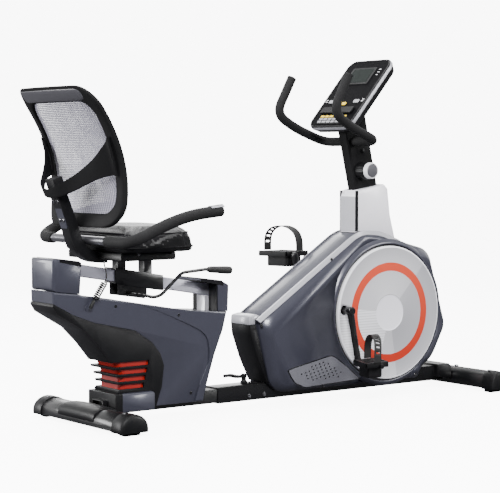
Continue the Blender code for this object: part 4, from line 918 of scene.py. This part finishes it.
def knob():
    """Ribbed grip with a white ring round a dark centre."""
    ribs, steps = 18, 6
    profile = [(0.024, 0.0), (0.0285, 0.003), (0.029, 0.006), (0.029, 0.038), (0.0275, 0.0405)]
    low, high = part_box("tension_knob")
    centre = Vector(((low[0] + high[0]) / 2, -0.0219, (low[2] + high[2]) / 2))
    rings = []
    for r, along in profile:
        ring = []
        for i in range(ribs * steps):
            a = 2 * pi * i / (ribs * steps)
            dent = 0.0009 * max(cos(a * ribs), 0) if 0.004 < along < 0.039 else 0
            ring.append(centre + Vector(((r - dent) * cos(a), -along, (r - dent) * sin(a))))
        rings.append(ring)
    loft("knob_grip", rings, "black_plastic", "knob", "tension_knob")
    lathe("knob_ring", [(0.0262, 0.0406), (0.0272, 0.0415), (0.0268, 0.053), (0.025, 0.0562), (0.0228, 0.0566),
                        (0.0222, 0.055), (0.022, 0.0406)], centre, (0, -1, 0), "white_key", "knob")
    lathe("knob_centre", [(0.0218, 0.0408), (0.0218, 0.056), (0.02, 0.0578), (0.001, 0.0588)], centre,
          (0, -1, 0), "satin_and_sheen", "knob")


CONSOLE_LOW = Vector((0.245, 0, 0.893))
TILT = radians(41)
WIDTH, LENGTH, DEPTH = 0.214, 0.3, 0.044


def on_console(across, up, out):
    """A point on the console: across to the left, up the face, out of the face."""
    return (CONSOLE_LOW + Vector((sin(TILT), 0, cos(TILT))) * up + Vector((-cos(TILT), 0, sin(TILT))) * out
            + Vector((0, across, 0)))


def console_ring(inset, depth, corner=0.036, steps=9):
    """The console's rounded outline, moved in by inset, at a depth behind its face."""
    half = WIDTH / 2 - inset
    radius = corner - inset
    ring = []
    side, low, high = half - radius, inset + radius, LENGTH - inset - radius
    for cy, cz, start in ((side, high, 0), (-side, high, 90), (-side, low, 180), (side, low, 270)):
        for i in range(steps):
            a = radians(start + 90 * i / (steps - 1))
            ring.append(on_console(cy + radius * cos(a), cz + radius * sin(a), -depth))
    return ring


def plate(name, low, high, z0, z1, look, body, radius=0.002, replaces=(), edge=0.0004):
    """A rounded rectangle on the console face, from depth z0 to z1 out of the face."""
    (a0, b0), (a1, b1) = low, high
    outline = flat([(a0, b0), (a1, b0), (a1, b1), (a0, b1)], radius, 4)
    inner = flat([(a0 + edge, b0 + edge), (a1 - edge, b0 + edge), (a1 - edge, b1 - edge),
                  (a0 + edge, b1 - edge)], radius, 4)
    rings = [[on_console(a, b, z0) for a, b in outline], [on_console(a, b, z1 - edge) for a, b in outline],
             [on_console(a, b, z1) for a, b in inner]]
    return loft(name, rings, look, body, replaces)


def console():
    rings = [console_ring(0.008, 0.0025), console_ring(0.0075, 0.0), console_ring(0.003, -0.0003),
             console_ring(0.0006, 0.0022), console_ring(0.0, 0.006), console_ring(0.0, 0.014),
             console_ring(0.003, 0.02), console_ring(0.01, DEPTH - 0.008), console_ring(0.017, DEPTH - 0.002),
             console_ring(0.026, DEPTH)]
    loft("console_case", rings, "black_plastic", "frame", "console_shell", sharp=50)
    band = [console_ring(0.001, 0.0022), console_ring(-0.0005, 0.0045), console_ring(-0.0007, 0.009),
            console_ring(-0.0005, 0.0138), console_ring(0.0003, 0.0144)]
    loft("console_band", band, "silver_trim", "frame", loop=False, caps=False)
    face = [console_ring(0.0085, 0.0022), console_ring(0.0085, 0.001), console_ring(0.0092, 0.0005)]
    loft("console_glass", face, "panel", "frame", "console_face")
    plate("display_bezel", (-0.056, 0.188), (0.064, 0.262), 0.0002, 0.0016, "black_plastic", "frame", 0.006)
    plate("display", (-0.046, 0.196), (0.054, 0.256), 0.0014, 0.002, "lcd", "frame", 0.003)
    for i, up in enumerate((0.252, 0.24, 0.228)):
        plate(f"display_mark_{i}", (-0.08, up - 0.0015), (-0.071, up + 0.0015), 0.0004, 0.0012, "white_key",
              "frame", 0.0008)
    for side in (-1, 1):
        for i, up in enumerate((0.112, 0.12)):
            plate(f"print_bar_{'low' if side < 0 else 'high'}_{i}", (side * 0.09 - 0.005, up - 0.0016),
                  (side * 0.09 + 0.005, up + 0.0016), 0.0004, 0.0012, "white_key", "frame", 0.0008)
    for name, across, up, width, height, look in (("start", 0.0, 0.102, 0.034, 0.013, "yellow"),
                                                  ("up", -0.062, 0.112, 0.026, 0.014, "grey_key"),
                                                  ("down", 0.062, 0.112, 0.026, 0.014, "grey_key")):
        plate(f"{name}_key", (across - width / 2, up - height / 2), (across + width / 2, up + height / 2),
              -0.0006, 0.0024, look, f"key_{name}", 0.004, f"{name}_button", 0.0008)
    plate("shelf", (-0.078, 0.058), (0.078, 0.084), 0.0002, 0.0075, "black_plastic", "frame", 0.006, edge=0.0015)
    plate("keypad", (-0.066, 0.014), (0.066, 0.052), 0.0002, 0.0014, "black_plastic", "frame", 0.004)
    for row in range(3):
        for column in range(6):
            a, b = -0.056 + column * 0.0225, 0.019 + row * 0.0115
            look = "yellow" if row == 2 else "grey_key"
            plate(f"pad_key_{row}_{column}", (a - 0.0088, b), (a + 0.0088, b + 0.008), 0.0012, 0.0024, look,
                  "frame", 0.0015)


# ---------------------------------------------------------------- seat
YOKE_SECTION = ((0, 0.0005), (0.12, 0.0), (0.5, -0.0012), (0.88, 0.0), (1, 0.0005), (1, 0.0065), (0.88, 0.007),
                (0.5, 0.007), (0.12, 0.007), (0, 0.0065))


def lumbar():
    """Yoke across the back of the waist, turned in towards its ends."""
    right = [(0.186, 0.0236, 0.798, 0.057), (0.17, 0.0262, 0.789, 0.046), (0.145, 0.053, 0.766, 0.033),
             (0.095, 0.092, 0.725, 0.022), (0.045, 0.118, 0.698, 0.015), (0.0, 0.121, 0.689, 0.013)]
    stations = [Vector((-y, d, z, h)) for y, d, z, h in right] + [Vector(r) for r in right[-2::-1]]
    rings = []
    for y, depth, z, half in smooth(stations, 5):
        tuck = 0.0065 * max(0.0, 1 - max(abs(y) - 0.06, 0) / 0.04)
        low, high = back_x(y, z - half) - depth, back_x(y, z + half) - depth
        middle = back_x(y, z) - depth
        low = low + (middle + tuck - low) * min(1, max(0, (0.16 - abs(y)) / 0.03))
        high = high + (middle - tuck - high) * min(1, max(0, (0.16 - abs(y)) / 0.03))
        ring = []
        for t, d in YOKE_SECTION:
            ring.append((low + (high - low) * t - d, y, z + half * (2 * t - 1)))
        rings.append(ring)
    loft("lumbar_yoke", rings, "matte_frame", "seat", "lumbar_support", sharp=50)


BACK_HALF = 0.203
BACK_Z = (0.592, 0.998)
BORDER = (0.034, 0.044, 0.04)


def back_x(y, z):
    """Front face of the backrest: bowed forward at the waist and at both sides."""
    bow = 1.45 if z > 0.7 else 1.7
    return -0.652 - bow * (z - 0.7) ** 2 - 0.02 * (1 - (y / 0.2) ** 2)


def back_loop(side, top, low, depth, arc=9, run=10):
    """A rounded rectangle on the backrest's curved face, at a depth behind it."""
    half = BACK_HALF - side
    z0, z1 = BACK_Z[0] + low, BACK_Z[1] - top
    top_r = max(0.06 - side * 0.4, 0.012)
    low_r = max(0.07 - side * 0.6, 0.012)
    corners = ((half - top_r, z1 - top_r, top_r, 0), (-half + top_r, z1 - top_r, top_r, 90),
               (-half + low_r, z0 + low_r, low_r, 180), (half - low_r, z0 + low_r, low_r, 270))
    line = []
    for n, (cy, cz, radius, start) in enumerate(corners):
        for i in range(arc):
            a = radians(start + 90 * i / (arc - 1))
            line.append((cy + radius * cos(a), cz + radius * sin(a)))
        ny, nz, nr, na = corners[(n + 1) % 4]
        end = (ny + nr * cos(radians(na)), nz + nr * sin(radians(na)))
        begin = line[-1]
        line += [(begin[0] + (end[0] - begin[0]) * t / run, begin[1] + (end[1] - begin[1]) * t / run)
                 for t in range(1, run)]
    return [(back_x(y, z) - depth, y, z) for y, z in line]


def backrest():
    """Border frame, the woven panel stretched in it, and the band along the top, its lighter grey painted sheen.
    """
    side, top, low = BORDER
    section = [(0.0, 0.0065), (0.0, 0.016), (0.05, 0.02), (0.15, 0.0219), (0.85, 0.0219), (0.96, 0.02),
               (1.0, 0.017), (1.0, 0.005), (0.94, 0.0028), (0.75, 0.0008), (0.45, 0.0002), (0.15, 0.002)]
    rings = [back_loop(side * t, top * t, low * t, depth) for t, depth in section]
    loft("back_frame", rings, "matte_frame", "seat", "backrest_frame", loop=True, sharp=50)
    levels = [0.0, 0.06, 0.14, 0.24, 0.36, 0.5, 0.64, 0.78, 0.9]
    layers = []
    for depth in (0.0104, 0.0126):
        layers.append([back_loop(side + GAP + 0.155 * t, top + GAP + 0.155 * t, low + GAP + 0.155 * t,
                                 depth + 0.004 * sin(pi * min(t, 0.5))) for t in levels])
    top_sheen_band()
    loft("back_mesh", layers[0][::-1] + layers[1], "mesh", "seat", "backrest_mesh", sharp=60)


def top_sheen_band():
    """Satin roll across the back of the backrest's top border; its lighter grey is painted sheen, standing in
    for the roll's reflection.
    """
    level, stations = 0.972, 32
    rings = []
    for i in range(stations + 1):
        y = -0.166 + 0.34 * i / stations
        end = min(1.0, (1 - abs(2 * i / stations - 1)) / 0.1) ** 0.5
        ring = []
        for n in range(17):
            a = pi * n / 16
            z = level - 0.0165 * cos(a) * (0.4 + 0.6 * end)
            ring.append((back_x(y, z) - 0.0214 - 0.0062 * end * sin(a) ** 0.8, y, z))
        rings.append(ring + [(back_x(y, level) - 0.019, y, level)])
    loft("back_top_sheen_band", rings, "satin_and_sheen", "seat", sharp=70)


def seat_bar():
    """Steel bar round the back of the seat, with foam grips and a pulse sensor on each end."""
    bar = [(-0.682, 0, 0.552), (-0.682, -0.258, 0.552), (-0.575, -0.272, 0.603), (-0.49, -0.28, 0.629),
           (-0.388, -0.286, 0.64)]
    half = rounded(bar, 0.05, 10)
    short = half[:-1] + [half[-1] + (half[-2] - half[-1]).normalized() * 0.006]
    path = [Vector((p.x, -p.y, p.z)) for p in short][::-1] + short[1:]
    sweep("seat_bar", path, circle(0.013, 28), "steel", "seat", "seat_handlebar")
    for side_name, side in SIDES:
        start = 0.125 if side < 0 else 0.175
        grip = [Vector((half[0].x, -start, half[0].z))] + half[1:]
        grip = [Vector((p.x, p.y * -side, p.z)) for p in grip]
        last = (grip[-1] - grip[-2]).normalized()
        first = (grip[1] - grip[0]).normalized()
        line = [grip[0], grip[0] + first * 0.002, grip[0] + first * 0.006] + grip[1:-1] + [
            grip[-1] - last * 0.006, grip[-1] - last * 0.002, grip[-1]]
        radii = [0.0146, 0.0162, 0.017] + [0.017] * (len(grip) - 2) + [0.017, 0.0163, 0.014]
        rings = [[p + s * a + u * b for a, b in circle(r, 28)] for (p, s, u), r in zip(frames(line), radii)]
        loft(f"seat_grip_foam_{side_name}", rings, "foam", "seat", f"seat_grip_{side_name}")
        s = last.cross(Vector((0, 0, 1))).normalized()
        u = s.cross(last)
        arc = [radians(40 + 100 * i / 16) for i in range(17)]
        rings = []
        for t in (0.0175, 0.0185, 0.0615, 0.0625):
            thick = 0.0022 if 0.018 < t < 0.062 else 0.0006
            centre = grip[-2] + last * t
            ring = [centre + s * (0.017 + thick) * cos(q) + u * (0.017 + thick) * sin(q) for q in arc]
            ring += [centre + s * 0.0168 * cos(q) + u * 0.0168 * sin(q) for q in arc[::-1]]
            rings.append(ring)
        loft(f"pulse_plate_{side_name}", rings, "steel", "seat", f"pulse_sensor_{side_name}")


SEAT_BOX = (-0.651, -0.365, 0.19, 0.518, 0.592)      # rear, front, half width, bottom, top


def seat_outline(inset, steps=14):
    x0, x1, half = SEAT_BOX[:3]
    ring = []
    for cx, cy, radius, start in ((x1 - 0.12, half - 0.12, 0.12, 0), (x0 + 0.035, half - 0.035, 0.035, 90),
                                  (x0 + 0.035, 0.035 - half, 0.035, 180), (x1 - 0.12, 0.12 - half, 0.12, 270)):
        for i in range(steps):
            a = radians(start + 90 * i / (steps - 1))
            ring.append((cx + (radius - inset) * cos(a), cy + (radius - inset) * sin(a)))
    return ring


SHADED_LEAN = 0.45                     # faces that lean more than this take the duller copy of the leather: painted shade


def cushion():
    """Padded seat: a shallow form, inflated by cloth simulation, with a duller copy of the leather on its steep
    sides as painted shade, and two welts.
    """
    low, high = SEAT_BOX[3:]
    profile = [(0.03, low), (0.008, low), (0.0045, low + 0.004), (0.004, low + 0.012), (0.005, high - 0.032),
               (0.01, high - 0.019), (0.022, high - 0.0095), (0.045, high - 0.0055), (0.08, high - 0.004)]
    rings = [[(x, y, z) for x, y in seat_outline(inset)] for inset, z in profile]
    pad = loft("cushion", rings, "leather", None, sharp=180)
    inflate(pad, 0.0048, low + 0.006, 0.0075)
    pad.data.materials.append(LOOKS["leather_shaded"])
    # the steep faces take the duller copy of the leather: painted shade
    for face in pad.data.polygons:
        face.material_index = 1 if face.normal.z < SHADED_LEAN else 0
    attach(pad, "seat")
    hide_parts("seat_cushion")
    # welts round the foot of the side and round the top panel
    for i, (z, inset) in enumerate(((low + 0.0135, 0.003), (high - 0.02, 0.018))):
        line = [Vector((x, y, z)) for x, y in seat_outline(inset, 20)]
        count = len(line)
        rings = []
        for n in range(count):
            along = (line[(n + 1) % count] - line[n - 1]).normalized()
            out = along.cross(Vector((0, 0, 1)))
            rings.append([line[n] + out * a + Vector((0, 0, b)) for a, b in circle(0.0024, 10)])
        loft(f"cushion_welt_{i}", rings, "leather_shaded", "seat", loop=True)


def inflate(obj, voxel, pinned_below, most):
    """Voxel remesh, cloth pressure, and a cap on how far a point may go."""
    scene = bpy.context.scene
    remesh = obj.modifiers.new("remesh", "REMESH")
    remesh.mode = "VOXEL"
    remesh.voxel_size = voxel
    bake(obj)
    start = [v.co.copy() for v in obj.data.vertices]
    group = obj.vertex_groups.new(name="pin")
    group.add([v.index for v in obj.data.vertices if v.co.z < pinned_below], 1.0, "REPLACE")
    cloth = obj.modifiers.new("cloth", "CLOTH")
    cloth.settings.use_pressure = True
    cloth.settings.uniform_pressure_force = 4.0
    cloth.settings.effector_weights.gravity = 0
    cloth.settings.vertex_group_mass = "pin"
    cloth.settings.tension_stiffness = 18
    cloth.settings.compression_stiffness = 18
    cloth.point_cache.frame_start = 1
    cloth.point_cache.frame_end = 20
    for step in range(1, 21):
        scene.frame_set(step)
        bpy.context.view_layer.update()
    bake(obj)
    scene.frame_set(1)
    for vertex, origin in zip(obj.data.vertices, start):
        move = vertex.co - origin
        if move.length > most:
            vertex.co = origin + move * (most / move.length)
    obj.data.shade_smooth()
    finer = obj.modifiers.new("finer", "SUBSURF")
    finer.levels = finer.render_levels = 1


def bake(obj):
    graph = bpy.context.evaluated_depsgraph_get()
    mesh = bpy.data.meshes.new_from_object(obj.evaluated_get(graph))
    obj.modifiers.clear()
    obj.data = mesh


def seat_parts():
    """Carriage, pan and lever, and the plate and bolts that hold the back tube."""
    paint("black_paint", "seat_carriage", edge=0.001)
    paint("black_plastic", "seat_frame", edge=0.0015)
    px, pz, y = -0.545, 0.391, -0.08
    path = rounded([(px, 0.032, pz), (px, y, pz), (-0.49, y, 0.377), (-0.463, y, 0.383), (-0.388, y, 0.447),
                    (-0.3, y, 0.4535), (-0.286, y, 0.453)], 0.014, 8)
    sweep("lever_rod", path, circle(0.005, 20), "black_paint", "release", "seat_lever")
    start = Vector((-0.293, y, 0.453))
    along = Vector((1, 0, -0.07)).normalized()
    profile = [(0.0062, 0.0), (0.0078, 0.002), (0.009, 0.006)]
    for i in range(8):
        at = 0.012 + i * 0.0085
        radius = 0.01 + 0.002 * i / 7
        profile += [(radius, at), (radius + 0.0005, at + 0.003), (radius, at + 0.006),
                    (radius - 0.0005, at + 0.0072)]
    profile += [(0.012, 0.083), (0.0105, 0.0875), (0.006, 0.09), (0.001, 0.0904)]
    lathe("lever_grip", profile, start, along, "rubber", "release", sides=32)
    # plate and bolts on the back tube
    rings = []
    for z, wide in ((0.588, 0.0155), (0.592, 0.018), (0.698, 0.018), (0.703, 0.0155)):
        x = -0.7555 - 0.34 * (z - 0.612)
        rings.append([(x - 0.0003, -wide, z), (x - 0.0003, wide, z), (x - 0.0028, wide, z - 0.0008),
                      (x - 0.0028, -wide, z - 0.0008)])
    loft("back_plate", rings, "grey_shell", "seat", sharp=20)
    bolts = [(x, y, z) for x, z in ((-0.777, 0.667), (-0.7583, 0.612)) for y in (-0.0105, 0.0105)]
    for i, (x, y, z) in enumerate(bolts):
        screw(f"back_bolt_{i}", (x, y, z), (-1, 0, -0.34), 0.0062, "seat", height=0.0045)
    for side_name, side in SIDES:
        for i, (x, z) in enumerate(((-0.59, 0.513), (-0.47, 0.513))):
            screw(f"pan_bolt_{side_name}_{i}", (x, side * 0.151, z), (0, side, 0), 0.005, "seat", height=0.003)


# ---------------------------------------------------------------- cranks and pedals
CRANK_LENGTH, CRANK_LEAN = 0.17, radians(7.8)
CRANK_STATIONS = ((-0.072, 0.004, 0.003), (-0.062, 0.009, 0.0065), (-0.035, 0.0125, 0.008),
                  (0.0, 0.0135, 0.0085), (0.06, 0.013, 0.008), (0.14, 0.0118, 0.0072), (0.4, 0.0108, 0.0066),
                  (0.7, 0.0106, 0.0064), (0.88, 0.0112, 0.0065), (0.97, 0.0124, 0.0068),
                  (1.02, 0.012, 0.0066), (1.05, 0.0098, 0.006), (1.065, 0.006, 0.0045))
STRAP_HEIGHT, STRAP_BULGE = 0.082, 0.012
STRAP_STEPS = 40


def drive():
    """Forged cranks, flattened in section and waisted along their length, each with its pedal."""
    for side_name, side in SIDES:
        turn = CRANK_LEAN if side < 0 else CRANK_LEAN + pi
        px, pz = CRANK[0] + CRANK_LENGTH * sin(turn), CRANK[1] - CRANK_LENGTH * cos(turn)
        root, tip = Vector((CRANK[0], side * 0.123, CRANK[1])), Vector((px, side * 0.137, pz))
        along = (tip - root).normalized()
        across = Vector((along.z, 0, -along.x)).normalized()
        rings = []
        for t, w, h in CRANK_STATIONS:
            middle = root.lerp(tip, t)
            ring = []
            for i in range(20):
                a = 2 * pi * i / 20
                c, s = cos(a), sin(a)
                ring.append(middle + across * (w * abs(c) ** 0.6 * (1 if c > 0 else -1))
                            + Vector((0, h * abs(s) ** 0.6 * (1 if s > 0 else -1), 0)))
            rings.append(ring)
        loft(f"crank_{side_name}", rings, "black_paint", "crank", f"crank_arm_{side_name}", sharp=60)
        lathe(f"crank_boss_{side_name}", [(0.0135, 0.1125), (0.014, 0.115), (0.014, 0.133), (0.0125, 0.1345),
                                          (0.0095, 0.135), (0.009, 0.134), (0.001, 0.1338)],
              (CRANK[0], 0, CRANK[1]), (0, side, 0), "black_paint", "crank")
        pedal(side_name, side, px, pz)
        strap(side_name, side, px, pz)


def pedal(side_name, side, px, pz):
    """Open cage of rails, ends and treads round a core, with a weighted keel under it."""
    body = f"foot_{side_name}"
    y0, y1, shear, half = 0.146, 0.25, 0.018, 0.048

    def place(u, v, z):
        """A point on the pedal: u from -1 at the rear to 1 at the front, v from 0 inside to 1 outside."""
        y = y0 + (y1 - y0) * v
        return (px + half * u + shear * (1 - 2 * v), side * y, pz + z)

    def slab(name, box, z0, z1, radius=0.06):
        (u0, v0), (u1, v1) = box
        outline = flat([(u0, v0), (u1, v0), (u1, v1), (u0, v1)], radius, 4)
        rings = []
        mid_u, mid_v = (u0 + u1) / 2, (v0 + v1) / 2
        for pull, z in ((0.024, z0), (0.0, z0 + 0.001), (0.0, z1 - 0.001), (0.024, z1)):
            rings.append([place(u + (mid_u - u) * pull, v + (mid_v - v) * pull, z) for u, v in outline])
        return loft(name, rings, "black_plastic", body)

    core = slab(f"pedal_core_{side_name}", ((-0.3, 0.02), (0.3, 0.98)), -0.0035, 0.01)
    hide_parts(f"pedal_{side_name}")
    for i, u in enumerate((-0.93, 0.93)):
        slab(f"pedal_rail_{side_name}_{i}", ((u - 0.07, 0.0), (u + 0.07, 1.0)), -0.0038, 0.0138, 0.03)
    for i, v in enumerate((0.035, 0.965)):
        slab(f"pedal_end_{side_name}_{i}", ((-1.0, v - 0.035), (1.0, v + 0.035)), -0.003, 0.0132, 0.03)
    for i in range(6):
        v = 0.14 + 0.144 * i
        slab(f"pedal_tread_{side_name}_{i}", ((-0.9, v - 0.022), (0.9, v + 0.022)), -0.001, 0.0122, 0.02)
    rings = []
    for z, grow in ((-0.038, 0.9), (-0.0365, 0.98), (-0.03, 1.0), (-0.0035, 1.0)):
        reach = 0.62 * grow
        outline = flat([(-reach, 0.1), (reach, 0.1), (reach, 0.85), (-reach, 0.85)], 0.1, 4)
        rings.append([place(u, v, z) for u, v in outline])
    loft(f"pedal_keel_{side_name}", rings, "black_plastic", body)
    lathe(f"pedal_spindle_{side_name}", [(0.006, 0.1444), (0.0085, 0.145), (0.0085, 0.253), (0.0078, 0.2555),
                                         (0.005, 0.2562), (0.001, 0.2562)], (px, 0, pz), (0, side, 0),
          "black_plastic", body)


def strap_sides(line, i):
    """Directions along the strap, across it and out of its face at a station."""
    along = (line[min(i + 1, STRAP_STEPS)] - line[max(i - 1, 0)]).normalized()
    wide = Vector((1, 0, 0))
    wide = (wide - along * wide.dot(along)).normalized()
    return along, wide, along.cross(wide).normalized()


def strap(side_name, side, px, pz):
    """Rubber strap arched over the foot's place, with adjusting slots near its outer end."""
    inner = Vector((px + 0.03, side * 0.1478, pz + 0.0145))
    outer = Vector((px - 0.022, side * 0.256, pz + 0.0145))
    across = outer - inner
    line = []
    for i in range(STRAP_STEPS + 1):
        t = i / STRAP_STEPS
        lean = 0.5 - 0.5 * cos(pi * t)
        arch = max(sin(pi * t), 0.0)
        line.append(inner + across * (lean * 0.9 + t * 0.1)
                    + Vector((0, side * STRAP_BULGE * arch * t, STRAP_HEIGHT * arch ** 0.55)))
    rings = []
    section = ((-0.015, -0.0004), (-0.01395, -0.0016), (0.01395, -0.0016), (0.015, -0.0004),
               (0.015, 0.0004), (0.01395, 0.0016), (-0.01395, 0.0016), (-0.015, 0.0004))
    for i, p in enumerate(line):
        along, wide, normal = strap_sides(line, i)
        rings.append([p + wide * a + normal * b for a, b in section])
    band = loft(f"strap_{side_name}", rings, "rubber", f"foot_{side_name}", f"pedal_strap_{side_name}")
    bm = bmesh.new()
    for n in range(5):
        i = 26 + n * 3
        p = line[i]
        along, wide, normal = strap_sides(line, i)
        rings = [[p + wide * a * 0.0078 + along * b * 0.0028 + normal * out
                  for a, b in ((-1, -1), (1, -1), (1, 1), (-1, 1))] for out in (-0.006, 0.006)]
        skin(bm, rings)
    cut(band, link_piece(f"strap_slots_{side_name}", bm, "rubber", None))


# ---------------------------------------------------------------- assembly
camera()
studio()
curly_lead()
floor_frame()
rear_housing()
front_housing()
mast_parts()
front_bar()
knob()
console()
lumbar()
backrest()
seat_bar()
cushion()
seat_parts()
drive()
